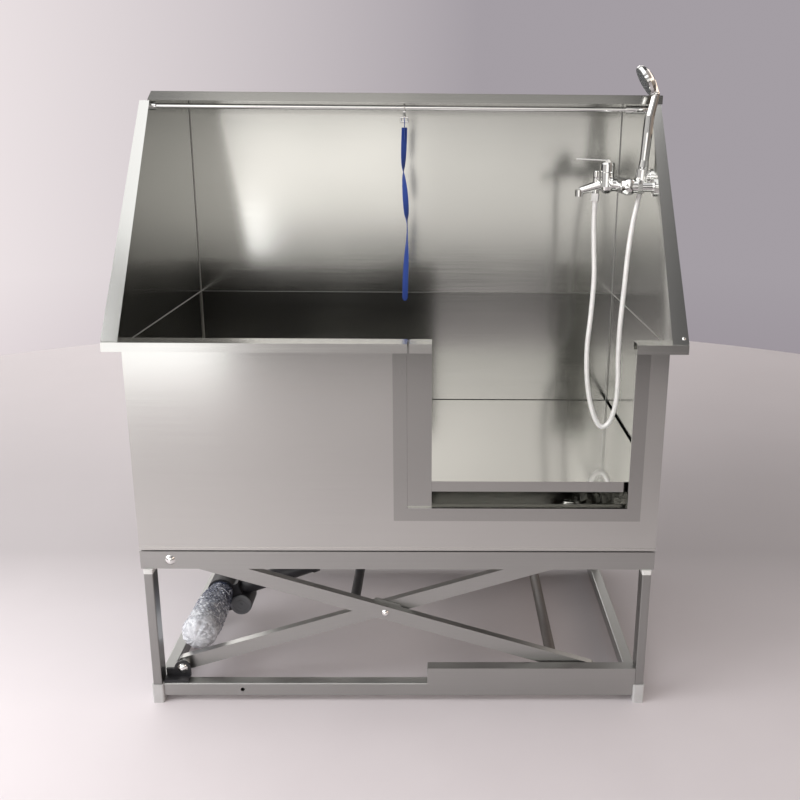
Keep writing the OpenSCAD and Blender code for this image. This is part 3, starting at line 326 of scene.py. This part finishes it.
class Finish:
    """A material with the nodes that most finishes share."""

    def __init__(self, name):
        self.material = bpy.data.materials.new(name)
        self.material.use_nodes = True
        self.nodes = self.material.node_tree.nodes
        self.links = self.material.node_tree.links
        self.nodes.clear()
        self.shader = self.nodes.new("ShaderNodeBsdfPrincipled")
        out = self.nodes.new("ShaderNodeOutputMaterial")
        self.links.new(self.shader.outputs["BSDF"], out.inputs["Surface"])

    def put(self, **values):
        """Sets the shader's inputs by name, with underscores for spaces."""
        for name, value in values.items():
            socket = self.shader.inputs[name.replace("_", " ")]
            socket.default_value = (*value, 1) if isinstance(value, tuple) and len(value) == 3 else value
        return self

    def place(self, scale, turn=(0, 0, 0), uv=False):
        """The object's coordinates, or its UV map, times one scale or three."""
        coords = self.nodes.new("ShaderNodeTexCoord")
        mapping = self.nodes.new("ShaderNodeMapping")
        mapping.inputs["Scale"].default_value = scale if isinstance(scale, tuple) else (scale,) * 3
        mapping.inputs["Rotation"].default_value = turn
        self.links.new(coords.outputs["UV" if uv else "Object"], mapping.inputs["Vector"])
        return mapping.outputs["Vector"]

    def noise(self, vector, detail=3.0, rough=0.5):
        """Noise round 0.5 with features about one unit of the vector wide."""
        node = self.nodes.new("ShaderNodeTexNoise")
        node.inputs["Scale"].default_value = 1.0
        node.inputs["Detail"].default_value = detail
        node.inputs["Roughness"].default_value = rough
        self.links.new(vector, node.inputs["Vector"])
        return node.outputs["Fac"]

    def spread(self, value, low, high, from_low=0.3, from_high=0.7):
        """The value with one range drawn out to another, and held at its ends."""
        node = self.nodes.new("ShaderNodeMapRange")
        node.inputs["From Min"].default_value = from_low
        node.inputs["From Max"].default_value = from_high
        node.inputs["To Min"].default_value = low
        node.inputs["To Max"].default_value = high
        self.links.new(value, node.inputs["Value"])
        return node.outputs["Result"]

    def sums(self, first, second, kind="ADD"):
        """Sum of two values or numbers, or another result of the two."""
        node = self.nodes.new("ShaderNodeMath")
        node.operation = kind
        for socket, value in zip(node.inputs, (first, second)):
            if isinstance(value, (int, float)):
                socket.default_value = value
            else:
                self.links.new(value, socket)
        return node.outputs["Value"]

    def colours(self, value, low, high):
        """Base colour from one colour to another by a value from 0 to 1."""
        node = self.nodes.new("ShaderNodeMix")
        node.data_type = "RGBA"
        node.inputs[6].default_value = (*low, 1)
        node.inputs[7].default_value = (*high, 1)
        self.links.new(value, node.inputs[0])
        self.links.new(node.outputs[2], self.shader.inputs["Base Color"])
        return node.outputs[2]

    def painted_front_shade(self, colour, level):
        """Painted shade: faces turned to the front, such as a sheet's folded edge, have only a share of the
        colour, for the darker room they mirror.
        """
        surface = self.nodes.new("ShaderNodeNewGeometry")
        split = self.nodes.new("ShaderNodeSeparateXYZ")
        self.links.new(surface.outputs["True Normal"], split.inputs["Vector"])
        front = self.spread(split.outputs["Y"], level, 1, -1, -0.3)
        both = self.nodes.new("ShaderNodeCombineXYZ")
        for socket in both.inputs:
            self.links.new(front, socket)
        front_shaded_colour = product(self.nodes, self.links, colour, both.outputs["Vector"])
        self.links.new(front_shaded_colour, self.shader.inputs["Base Color"])

    def cells(self, vector):
        """Distance to the nearest of many scattered points, from 0 at the point."""
        node = self.nodes.new("ShaderNodeTexVoronoi")
        node.inputs["Scale"].default_value = 1.0
        self.links.new(vector, node.inputs["Vector"])
        return node.outputs["Distance"]

    def along(self, axis, stops):
        """Grey level that follows one axis of the object, in metres, through (place, level)."""
        coords = self.nodes.new("ShaderNodeTexCoord")
        split = self.nodes.new("ShaderNodeSeparateXYZ")
        self.links.new(coords.outputs["Object"], split.inputs["Vector"])
        low, high = stops[0][0], stops[-1][0]
        levels = [((at - low) / (high - low), (level,) * 3) for at, level in stops]
        return ramp(self.nodes, self.links, self.spread(split.outputs[axis], 0, 1, low, high), levels)

    def rough(self, value):
        """Roughness from a value."""
        self.links.new(value, self.shader.inputs["Roughness"])

    def bump(self, height, strength, distance):
        """Small relief from a height, with its depth in metres."""
        node = self.nodes.new("ShaderNodeBump")
        node.inputs["Strength"].default_value = strength
        node.inputs["Distance"].default_value = distance
        self.links.new(height, node.inputs["Height"])
        self.links.new(node.outputs["Normal"], self.shader.inputs["Normal"])


def shade(colour, factor):
    """The colour times a factor, up to white."""
    return tuple(min(1.0, c * factor) for c in colour)


def brushed(name, colour, grain, roughness, along, streak, level=False, contrast=0.04):
    """Brushed metal: noise stretched along the strokes for grain, wide soft noise for the sheet's
    slight waves and wiped places, and reflections drawn out across the strokes. The strokes run
    round Z on walls and round Y on level sheets, which on flat sheets is along their length."""
    f = Finish(name).put(Metallic=1.0, Anisotropic=streak, Anisotropic_Rotation=0.25)
    strokes_run = f.nodes.new("ShaderNodeTangent")
    strokes_run.direction_type = "RADIAL"
    strokes_run.axis = "Y" if level else "Z"
    f.links.new(strokes_run.outputs["Tangent"], f.shader.inputs["Tangent"])
    scale = {"x": (3, grain, grain), "y": (grain, 3, grain), "z": (grain, grain, 3)}[along]
    strokes = f.noise(f.place(scale), 2.0, 0.6)
    wide = f.noise(f.place(2.2), 2.0, 0.5)
    mixed = f.colours(f.spread(f.sums(strokes, wide), 0, 1, 0.7, 1.3), shade(colour, 1 - contrast),
                      shade(colour, 1 + contrast))
    # Level sheets get painted shade on their faces turned to the front
    if level:
        f.painted_front_shade(mixed, 0.56)
    base = f.spread(strokes, roughness - 0.02, roughness + 0.03)
    f.rough(f.sums(base, f.spread(wide, -0.02, 0.03)))
    f.bump(f.sums(f.sums(strokes, 0.2, "MULTIPLY"), f.sums(wide, 12.0, "MULTIPLY")), 0.08, 0.00004)
    return f.material


def polished(name, colour, roughness):
    """Polished metal with faint wiped patches in its roughness."""
    f = Finish(name).put(Metallic=1.0, Base_Color=colour)
    f.rough(f.spread(f.noise(f.place(9), 4.0, 0.6), roughness, roughness + 0.03))
    f.bump(f.noise(f.place(160), 2.0), 0.05, 0.0001)
    return f.material


def painted(name, colour, roughness):
    """Sprayed paint: fine orange peel, and dust that lightens it in patches."""
    f = Finish(name).put(Specular_IOR_Level=0.45, Coat_Weight=0.15, Coat_Roughness=0.25)
    dust = f.noise(f.place(14), 5.0, 0.65)
    f.colours(f.spread(dust, 0, 1, 0.42, 0.72), colour, shade(colour, 1.6))
    f.rough(f.spread(dust, roughness - 0.06, roughness + 0.1))
    f.bump(f.noise(f.place(420), 2.0), 0.35, 0.00015)
    return f.material


def moulded(name, colour, roughness, grain=900):
    """Moulded plastic: a fine spark texture and slight scuffs."""
    f = Finish(name).put(Specular_IOR_Level=0.4)
    scuffs = f.noise(f.place(30), 5.0, 0.7)
    f.colours(f.spread(scuffs, 0, 1, 0.35, 0.75), shade(colour, 0.93), shade(colour, 1.06))
    f.rough(f.spread(scuffs, roughness - 0.05, roughness + 0.08))
    f.bump(f.noise(f.place(grain), 1.0), 0.25, 0.0001)
    return f.material


def bands(f, vector, across, scale):
    """Soft bands across one axis."""
    node = f.nodes.new("ShaderNodeTexWave")
    node.wave_type = "BANDS"
    node.bands_direction = across
    node.wave_profile = "SIN"
    node.inputs["Scale"].default_value = scale
    f.links.new(vector, node.inputs["Vector"])
    return node.outputs["Fac"]


def webbing(name, colour):
    """Woven strap on its own UV map, in metres across and along: cords along the strap crossed
    by weft, with painted shade in the valley between and painted light on the cords, a fuzz of
    noise and a soft sheen."""
    f = Finish(name).put(Specular_IOR_Level=0.3, Sheen_Weight=0.35, Sheen_Roughness=0.4)
    warp = bands(f, f.place(1, uv=True), "X", 240)
    weft = bands(f, f.place(1, (0, 0, math.radians(24)), uv=True), "Y", 130)
    weave_relief_and_shade = f.sums(warp, weft, "MULTIPLY")
    fuzz = f.noise(f.place((2500, 900, 1), uv=True), 2.0)
    # The weave's relief paints shade into its valleys and light onto its cords; the fuzz is the strap's own tone
    f.colours(f.spread(f.sums(weave_relief_and_shade, f.sums(fuzz, 0.4, "MULTIPLY")), 0, 1, 0.15, 0.95),
              shade(colour, 0.55), shade(colour, 1.5))
    f.rough(f.spread(fuzz, 0.62, 0.8))
    f.bump(weave_relief_and_shade, 0.6, 0.0004)
    return f.material


def hose_skin(name):
    """Silvered hose skin under a clear jacket, with faint cloudy patches."""
    f = Finish(name).put(Metallic=0.15, Specular_IOR_Level=0.6, Coat_Weight=0.5, Coat_Roughness=0.12)
    fine = f.noise(f.place(60))
    f.colours(f.spread(fine, 0, 1), (0.80, 0.79, 0.78), (0.90, 0.89, 0.88))
    f.rough(f.spread(fine, 0.28, 0.4))
    return f.material


def bubble_film(name):
    """Clear packing film with a bluish cast: dark and see-through over the motor, cloudier and
    whiter towards its gathered end, with bubbles and with white creases where noise crosses its
    middle."""
    f = Finish(name).put(Specular_IOR_Level=0.7, Coat_Weight=0.4, Coat_Roughness=0.08)
    cloud = f.noise(f.place(40))
    bubbles = f.spread(f.cells(f.place(130)), 0.34, -0.12, 0.1, 0.55)
    folds = f.noise(f.place(16), 1.5)
    crease = f.spread(f.sums(f.sums(folds, 0.5, "SUBTRACT"), 0.0, "ABSOLUTE"), 1, 0, 0.004, 0.016)
    gathered = f.along("Y", ((-0.29, 1.0), (-0.2, 0.62), (-0.1, 0.1), (-0.04, 0.0)))
    white = f.sums(f.sums(f.sums(f.spread(cloud, -0.1, 0.3), bubbles), gathered), crease)
    f.colours(f.spread(white, 0, 1, 0, 1), (0.055, 0.075, 0.15), (0.86, 0.89, 0.95))
    f.links.new(f.spread(white, 0.5, 0.9, 0, 1), f.shader.inputs["Alpha"])
    f.rough(f.spread(cloud, 0.1, 0.35))
    f.bump(cloud, 0.4, 0.0015)
    return f.material


def finishes(s):
    """Every finish by its slot, and the ones for single nodes."""
    steel, tube = tuple(s.steel), tuple(s.frame_steel)
    return {
        "brushed_sheet": brushed("BrushedSheet", steel, s.grain, s.sheet_roughness, "x", s.streak),
        "end_sheet": brushed("EndSheet", steel, s.grain, s.sheet_roughness, "y", s.streak),
        # Painted light: the basin floor and platform are a brighter copy of the sheet steel
        "lit_level_sheet": brushed("LitLevelSheet", shade(steel, 1.36), s.grain, 0.11, "x", 0.3, True),
        # Painted shade: the doorway's trim and the sliding door are a darker copy of the sheet steel
        "shaded_door_sheet": brushed("ShadedDoorSheet", shade(steel, 0.74), s.grain, s.sheet_roughness, "x",
                              s.streak),
        # Painted shade: the basin's back wall and the top shelf are a darker copy of the sheet steel
        "painted_shade_sheet": brushed("PaintedShadeSheet", shade(steel, 0.66), s.grain, s.sheet_roughness, "x", s.streak),
        "satin_frame": brushed("SatinFrame", tube, s.grain, 0.32, "x", s.streak * 0.6),
        "satin_post": brushed("SatinPost", shade(tube, 0.84), s.grain, 0.32, "z", 0.0),
        "polished_rim": brushed("PolishedRim", shade(steel, 1.04), s.grain * 1.5, 0.2, "x", s.streak,
                                False, 0.03),
        "bright_chrome": polished("BrightChrome", (0.80, 0.80, 0.79), 0.07),
        "black_paint": painted("BlackPaint", tuple(s.black), 0.42),
        "brown_paint": painted("BrownPaint", (0.075, 0.062, 0.055), 0.42),
        "pale_nylon": moulded("PaleNylon", (0.74, 0.74, 0.73), 0.38),
        "grey_plastic": moulded("GreyPlastic", (0.20, 0.21, 0.225), 0.42),
        "dark_plastic": moulded("DarkPlastic", (0.022, 0.022, 0.026), 0.40),
        "clear_film": bubble_film("ClearFilm"),
        "blue_webbing": webbing("BlueWebbing", tuple(s.webbing)),
        "hose_skin": hose_skin("HoseSkin"),
        "spray_rubber": moulded("SprayRubber", (0.10, 0.105, 0.11), 0.5, 600),
        "stitch_thread": moulded("StitchThread", (0.03, 0.08, 0.5), 0.6, 2000),
        "foot_grey": moulded("FootGrey", (0.50, 0.50, 0.50), 0.36),
    }


FINISHES = {}

# Solids whose finish isn't their slot's, among them the sheets with painted shade and painted light
OWN_FINISH = {
    "back_panel": "painted_shade_sheet", "top_shelf": "painted_shade_sheet", "door_trim": "shaded_door_sheet",
    "sliding_door": "shaded_door_sheet", "end_panels": "end_sheet", "splash_sides": "end_sheet",
    "platform_ledges": "end_sheet", "basin_floor": "lit_level_sheet", "platform": "lit_level_sheet",
    "posts": "satin_post", "feet": "foot_grey", "hose_nuts": "hose_skin",
}


def dress(piece, body, slot, finish=None):
    """Gives a new piece its finish and slot, and lets it ride on a body."""
    piece.data.materials.clear()
    piece.data.materials.append(FINISHES[finish or slot])
    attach(piece, body)
    return piece


class TUB_OT_finishes(bpy.types.Operator):
    """Makes the finishes and gives one to every solid of the frame"""
    bl_idname = "tub.finishes"
    bl_label = "Finishes"

    def execute(self, context):
        FINISHES.update(finishes(context.scene.tub_finish))
        for node, piece in frame["nodes"].items():
            finish = FINISHES[OWN_FINISH.get(node, SLOT_OF[node])]
            if not piece.material_slots:
                piece.data.materials.append(finish)
            for slot in piece.material_slots:
                slot.material = finish
        return {"FINISHED"}


# Leash, hose and film

class TUB_OT_shower_hose(bpy.types.Operator):
    """Ribbed shower hose from the mixer's outlet down and up to the handset"""
    bl_idname = "tub.shower_hose"
    bl_label = "Shower hose"

    def execute(self, context):
        s = context.scene.tub_soft
        route = (HOSE_ROUTE + (0, DEPTH_SHIFT, 0)) / 1000
        line, length, at = even_line(smooth_line(route, 24), s.rib_pitch / 6)
        rib = 0.5 - 0.5 * np.cos(at * 2 * math.pi / s.rib_pitch)
        radius = s.hose_diameter / 2 - 0.00035 * (1 - rib ** 0.5)
        a = np.linspace(0, 2 * math.pi, 20, endpoint=False)
        sections = radius[:, None, None] * np.stack([np.cos(a), np.sin(a)], 1)[None]
        hose = closed_sweep("hose", swept(line, sections, (0.0, 1.0, 0.0)), smooth_angle=60)
        dress(hose, "tub", "hose_skin")
        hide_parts("shower_hose")
        return {"FINISHED"}


def flat_section(width, thickness, count=28):
    """Flat oval: the point at angle a is half the width times cos a to the power 0.35 and half the
    thickness times sin a to the power 0.5, both with their signs, which squares off an ellipse."""
    a = np.linspace(0, 2 * math.pi, count, endpoint=False)
    c, d = np.cos(a), np.sin(a)
    return np.stack([width / 2 * np.sign(c) * np.abs(c) ** 0.35,
                     thickness / 2 * np.sign(d) * np.abs(d) ** 0.5], 1)


class TUB_OT_leash(bpy.types.Operator):
    """Twisted webbing with its sewn loop round the hook's eye"""
    bl_idname = "tub.leash"
    bl_label = "Leash"

    def execute(self, context):
        s = context.scene.tub_soft
        low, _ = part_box("leash_strap")
        bar = np.array(JOINTS["strap_swing"]["pos_m"])
        below_bar, above_end, inset = 0.013, 0.0004, 0.98  # keeps it inside the solid's box
        top, bottom = bar[2] - below_bar, low[2] + above_end
        t = np.linspace(0, 1, 260)
        turn = smoothed(np.radians(np.interp(t, *TWIST.T)), 17)
        sway = smoothed(np.interp(t, *SWAY.T), 41)[:, None]
        taper = np.clip((1 - t) / 0.018, 0, 1) ** 0.5
        section = flat_section(s.strap_width, s.strap_thickness)
        across = section[None] * np.stack([0.25 + 0.75 * taper, np.maximum(taper, 0.3)], 1)[:, None]
        c, d = np.cos(turn)[:, None], np.sin(turn)[:, None]
        x = across[..., 0] * c - across[..., 1] * d
        y = across[..., 0] * d + across[..., 1] * c
        z = np.broadcast_to((top + (bottom - top) * t)[:, None], x.shape)
        rings = np.stack([bar[0] + x * inset + sway, bar[1] + y * inset, z], 2)
        uv = np.stack([across[..., 0], z], 2)
        strap = closed_sweep("leash", rings, uv, 50)
        dress(strap, "leash", "blue_webbing")
        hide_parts("leash_strap")

        # The loop goes up the back, over the hook's bar and down the front
        bend_radius = 0.0036
        a = np.linspace(-0.5, math.pi + 0.5, 34)
        bend = np.stack([0 * a, bend_radius * np.cos(a), bend_radius * np.sin(a)], 1)
        down = np.linspace(0, 1, 16)[1:, None]
        rear = np.array([0, 0.0017, -0.044]) * down + bend[0] * (1 - down)
        front = np.array([0, -0.0017, -0.040]) * down + bend[-1] * (1 - down)
        line, _, at = even_line(np.vstack([rear[::-1], bend, front]) + bar, 0.0008)
        sections = np.broadcast_to(flat_section(0.0124, 0.0016, 20)[None], (len(line), 20, 2))
        rings = swept(line, sections, (1.0, 0.0, 0.0))
        uv = np.stack([sections[..., 0], np.broadcast_to(at[:, None], (len(at), 20))], 2)
        loop = closed_sweep("leash_loop", rings, uv, 50)
        dress(loop, "leash", "blue_webbing")

        # Three rows of stitches on the loop's front, which leans as it goes down
        first_row, last_row, half_row = -0.018, -0.038, 0.0048
        places = [(bar[0] + x, bar[1] - 0.0024 + (z - first_row) * 0.02, bar[2] + z)
                  for z in np.linspace(first_row, last_row, 3)
                  for x in np.linspace(-half_row, half_row, 7)]
        stitch = turned([(0.0002, -0.00035), (0.0006, -0.0002), (0.0006, 0.0002), (0.0002, 0.00035)], 8)
        stitches = many("leash_stitches", placed_copies(stitch, places, [(0, -1, 0)] * len(places)))
        dress(stitches, "leash", "blue_webbing", "stitch_thread")
        return {"FINISHED"}


class TUB_OT_packing_film(bpy.types.Operator):
    """Bubble film wrapped round the motor, gathered at its outer end and taped"""
    bl_idname = "tub.packing_film"
    bl_label = "Packing film"

    def execute(self, context):
        s = context.scene.tub_soft
        tail = np.array(JOINTS["drive_tail_pivot"]["pos_m"])
        along = np.array(JOINTS["drive_stroke"]["axis"], float)
        up = np.array([-along[2], 0, along[0]])
        collar = tail + 0.061 * along + 0.021 * up + (0, -0.0405, 0)
        lean = math.radians(3)
        outward = -math.sin(lean) * along + math.cos(lean) * np.array([0, -1.0, 0])
        across = math.cos(lean) * along + math.sin(lean) * np.array([0, -1.0, 0])

        # v is the distance from the motor's collar, and a is the angle round the motor
        reach, wide = FILM_OUTLINE.T / 1000
        rows, cols = 190, 264
        v, a = np.meshgrid(np.linspace(0, reach[-1], rows),
                           np.linspace(0, 2 * math.pi, cols, endpoint=False), indexing="ij")
        outline = np.interp(v, reach, wide)
        end = np.clip((v - 0.18) / 0.05, 0, 1)
        folds = 0.0012 * np.sin(3 * a + 25 * v) + 0.0009 * np.sin(7 * a - 40 * v + 1)
        gather = end * 0.0025 * np.sin(11 * a + 1.5 * np.sin(2 * a))

        # Bubbles in staggered rows, with none under the tape and none where the film is gathered
        mean_radius, row_share, bubble_size = 0.045, 0.87, 0.19
        pitch = 2 * math.pi / s.bubbles_round
        row = v / (pitch * mean_radius * row_share)
        shift = (np.floor(row) % 2) * 0.5
        q = (a / pitch + shift) % 1 - 0.5
        w = row % 1 - 0.5
        bubble = np.clip(1 - (q**2 + w**2) / bubble_size, 0, 1) ** 0.5
        tape = ((v > 0.118) & (v < 0.138)).astype(float)
        radius = outline - 0.0035 + folds + gather * 0.8 + 0.0022 * bubble * (1 - end) * (1 - tape)

        # Never into the motor, and never more than a hair out of the solid's outline
        motor_end = 0.214
        inside = np.where(v < motor_end, 0.0336 + 0.06 * v, 0.0025)
        radius = np.maximum(np.minimum(radius, outline + 0.0006), np.minimum(inside, outline - 0.0004))
        point = (collar + radius[..., None] * (np.cos(a)[..., None] * across + np.sin(a)[..., None] * up)
                 + v[..., None] * outward)
        points = np.vstack([point.reshape(-1, 3), point[-1].mean(0)])
        faces = grid_faces(rows, cols) + end_fan(cols, (rows - 1) * cols, rows * cols)
        film = add_mesh("packing_film", points, faces, None, 60)
        wall = film.modifiers.new("Film", "SOLIDIFY")
        wall.thickness = 0.0004
        wall.offset = -1
        dress(film, "drive_body", "clear_film")
        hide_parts("motor_wrap")
        return {"FINISHED"}


# Fasteners and beads

def dome(radius, height):
    """Grid of a low dome: an arc of a quarter turn from its rim to near its top."""
    a = np.linspace(0, math.pi / 2 * 0.97, 7)
    rim = [(radius, -0.0002)]
    return turned(rim + [(radius * math.cos(x), height * math.sin(x)) for x in a], 24)


class TUB_OT_seams(bpy.types.Operator):
    """Beads inside, where the splash walls meet the basin and in both corners, and a rivet"""
    bl_idname = "tub.seams"
    bl_label = "Seams"

    def execute(self, context):
        s = context.scene.tub_fastener
        side_low, side_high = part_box("splash_sides")
        back_low, back_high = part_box("splash_back")
        shelf_low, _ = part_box("top_shelf")
        _, floor_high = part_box("basin_floor")
        _, rim_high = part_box("front_rim")
        # A bead lies in the corner of two walls, a little inside the side wall's face
        seam_z, wall_y, wall_x = back_low[2], back_low[1], back_high[0] - 0.0003
        if s.beads:
            h = s.bead_height / 2
            a = np.linspace(0, 2 * math.pi, 12, endpoint=False)
            oval = np.stack([h * 1.5 * np.cos(a), h * 0.6 * np.sin(a)], 1)
            runs = []
            front_y, low_z, top_z = side_low[1] + 0.06, floor_high[2] + 0.004, shelf_low[2] - 0.002
            for ends in (((-wall_x, wall_y, seam_z), (wall_x, wall_y, seam_z)),
                         ((-wall_x, front_y, seam_z), (-wall_x, wall_y, seam_z)),
                         ((wall_x, wall_y, seam_z), (wall_x, front_y, seam_z)),
                         ((-wall_x, wall_y, low_z), (-wall_x, wall_y, top_z)),
                         ((wall_x, wall_y, low_z), (wall_x, wall_y, top_z))):
                line = np.linspace(*ends, 40)
                hint = (0.0, 0.0, 1.0) if ends[0][2] == ends[1][2] else (0.0, 1.0, 0.0)
                runs.append(swept(line, np.broadcast_to(oval, (40, 12, 2)), hint))
            dress(many("seam_beads", runs), "tub", "bright_chrome", "satin_frame")

        slope = np.array([0, shelf_low[1] - side_low[1], shelf_low[2] - rim_high[2]])
        slope /= np.linalg.norm(slope)
        outward = np.array([0, -slope[2], slope[1]])
        corner = np.array([side_high[0] - 0.011, side_low[1], rim_high[2]])
        place = corner + 0.016 * slope + 0.0001 * outward
        head = dome(s.rivet_radius, s.rivet_radius * 0.5)
        rivet = many("flange_rivet", placed_copies(head, [place], [outward]))
        dress(rivet, "tub", "bright_chrome")
        return {"FINISHED"}


# Stage

def add_floor(scene, radius):
    """Round floor with painted shade, darker towards the right and behind the tub."""
    a = np.linspace(0, 2 * math.pi, 96, endpoint=False)
    edge = radius * np.stack([np.cos(a), np.sin(a), 0 * a], 1)
    mesh = bpy.data.meshes.new("floor")
    mesh.from_pydata(edge.tolist(), [], [tuple(range(96))])
    floor = bpy.data.objects.new("floor", mesh)
    scene.collection.objects.link(floor)
    f = Finish("FloorPaintAndShade")
    grain = f.noise(f.place(3))
    paint = f.colours(f.spread(grain, 0, 1), (0.83, 0.775, 0.805), (0.86, 0.805, 0.835))
    # Painted shade: the floor is darker towards the right and behind the tub
    floor_shade = product(f.nodes, f.links, f.along("X", FLOOR_SHADE_ACROSS), f.along("Y", FLOOR_SHADE_ALONG))
    f.links.new(product(f.nodes, f.links, floor_shade, paint), f.shader.inputs["Base Color"])
    f.rough(f.spread(grain, 0.5, 0.6))
    floor.data.materials.append(f.material)


def add_room(scene, strength, left, right):
    """World that lights the tub, with a backdrop between two colours that only the camera sees."""
    world = bpy.data.worlds.new("Room")
    scene.world = world
    world.use_nodes = True
    nodes, links = world.node_tree.nodes, world.node_tree.links
    nodes.clear()
    coords = nodes.new("ShaderNodeTexCoord")
    split = nodes.new("ShaderNodeSeparateXYZ")
    links.new(coords.outputs["Generated"], split.inputs["Vector"])

    def toward(axis, stops):
        """Colour by the direction's part along an axis, from -1 at place 0 to 1 at place 1."""
        reach = nodes.new("ShaderNodeMapRange")
        reach.inputs["From Min"].default_value = -1
        links.new(split.outputs[axis], reach.inputs["Value"])
        return ramp(nodes, links, reach.outputs["Result"], stops)

    def background(colour, power):
        node = nodes.new("ShaderNodeBackground")
        node.inputs["Strength"].default_value = power
        links.new(colour, node.inputs["Color"])
        return node.outputs["Background"]

    room = product(nodes, links, toward("Z", ROOM_HEIGHT), toward("X", ROOM_WIDTH))
    backdrop = product(nodes, links, toward("X", ((0.28, left), (0.52, right), (1, right))),
                       toward("Z", BACKDROP_HEIGHT))
    path = nodes.new("ShaderNodeLightPath")
    mix = nodes.new("ShaderNodeMixShader")
    links.new(path.outputs["Is Camera Ray"], mix.inputs["Fac"])
    links.new(background(room, strength), mix.inputs[1])
    links.new(background(backdrop, 1), mix.inputs[2])
    out = nodes.new("ShaderNodeOutputWorld")
    links.new(mix.outputs["Shader"], out.inputs["Surface"])


def add_lamp(scene, name, power, colour, size, place, aim):
    """Soft rectangular lamp at a place, aimed at a point."""
    lamp = bpy.data.lights.new(name, "AREA")
    lamp.shape = "RECTANGLE"
    lamp.size, lamp.size_y = size
    lamp.energy = power
    lamp.color = colour
    holder = bpy.data.objects.new(name, lamp)
    holder.visible_camera = False
    scene.collection.objects.link(holder)
    z = np.array(place, float) - np.array(aim, float)
    z /= np.linalg.norm(z)
    x = np.cross((0, 0, 1.0), z)
    x /= np.linalg.norm(x)
    turn = Matrix(np.stack([x, np.cross(z, x), z], 1).tolist()).to_4x4()
    holder.matrix_world = Matrix.Translation(place) @ turn


def add_camera(scene):
    """Camera of the photograph: its right, its view and its up are the turned X, Y and Z."""
    spin = (Matrix.Rotation(CAMERA_TURN, 3, "Z") @ Matrix.Rotation(CAMERA_NOD, 3, "X")
            @ Matrix.Rotation(CAMERA_LEAN, 3, "Y"))
    right, ahead, above = spin.col[0], spin.col[1], spin.col[2]
    data = bpy.data.cameras.new("photo_camera")
    data.sensor_width = SENSOR_MM
    data.lens = FOCAL_PX / PICTURE_PX * SENSOR_MM
    data.shift_x = (PICTURE_PX / 2 - MIDDLE_PX[0]) / PICTURE_PX
    data.shift_y = (MIDDLE_PX[1] - PICTURE_PX / 2) / PICTURE_PX
    data.clip_end = 50
    camera = bpy.data.objects.new("photo_camera", data)
    scene.collection.objects.link(camera)
    turned_to = Matrix((right, above, -ahead)).transposed().to_4x4()
    camera.matrix_world = Matrix.Translation(CAMERA_PLACE) @ turned_to
    scene.camera = camera


class TUB_OT_stage(bpy.types.Operator):
    """Pale floor, even room light, five soft lights and the camera of the photograph"""
    bl_idname = "tub.stage"
    bl_label = "Stage"

    def execute(self, context):
        scene = context.scene
        s = scene.tub_stage
        add_floor(scene, s.floor_radius)
        add_room(scene, s.room, tuple(s.backdrop_left), tuple(s.backdrop_right))
        for lamp in (
                ("key", s.key, WARM, (1.55, 0.98), (-0.875, -4.6, 1.07), (-0.875, 0, 1.07)),
                ("second", s.second, WARM, (1.6, 1.14), (0.7, -4.6, 0.99), (0.7, 0, 0.99)),
                ("fill", s.fill, PLAIN, (1.3, 0.8), (-1.75, -3.4, 0.42), (-1.2, 0, 0.5)),
                ("side", s.side, PLAIN, (2.4, 2.4), (-3.4, -1.9, 3.4), (-0.4, -0.6, 0.2)),
                ("top", s.top, PLAIN, (3, 3), (-0.4, -0.3, 3.6), (-0.2, 0, 0.5))):
            add_lamp(scene, *lamp)
        add_camera(scene)
        scene.view_settings.view_transform = "Standard"
        return {"FINISHED"}


class TUB_PT_panel(bpy.types.Panel):
    """Every setting, and a button for each step"""
    bl_idname = "TUB_PT_panel"
    bl_label = "Dog grooming tub"
    bl_space_type = "VIEW_3D"
    bl_region_type = "UI"
    bl_category = "Tub"

    def draw(self, context):
        for group in SETTINGS:
            box = self.layout.box()
            settings = getattr(context.scene, group)
            for name in settings.__annotations__:
                box.prop(settings, name)
        for step in STEPS:
            self.layout.operator(step.bl_idname)


SETTINGS = {"tub_finish": TubFinishSettings, "tub_soft": TubSoftSettings,
            "tub_fastener": TubFastenerSettings, "tub_stage": TubStageSettings}
STEPS = (TUB_OT_finishes, TUB_OT_stage, TUB_OT_shower_hose, TUB_OT_leash, TUB_OT_packing_film,
         TUB_OT_seams)


def register():
    for kind in (*SETTINGS.values(), *STEPS, TUB_PT_panel):
        bpy.utils.register_class(kind)
    for name, kind in SETTINGS.items():
        setattr(bpy.types.Scene, name, PointerProperty(type=kind))


def unregister():
    for name in SETTINGS:
        delattr(bpy.types.Scene, name)
    for kind in reversed((*SETTINGS.values(), *STEPS, TUB_PT_panel)):
        bpy.utils.unregister_class(kind)


def main():
    register()
    for step in STEPS:
        group, name = step.bl_idname.split(".")
        getattr(getattr(bpy.ops, group), name)()


if __name__ == "__main__":
    main()
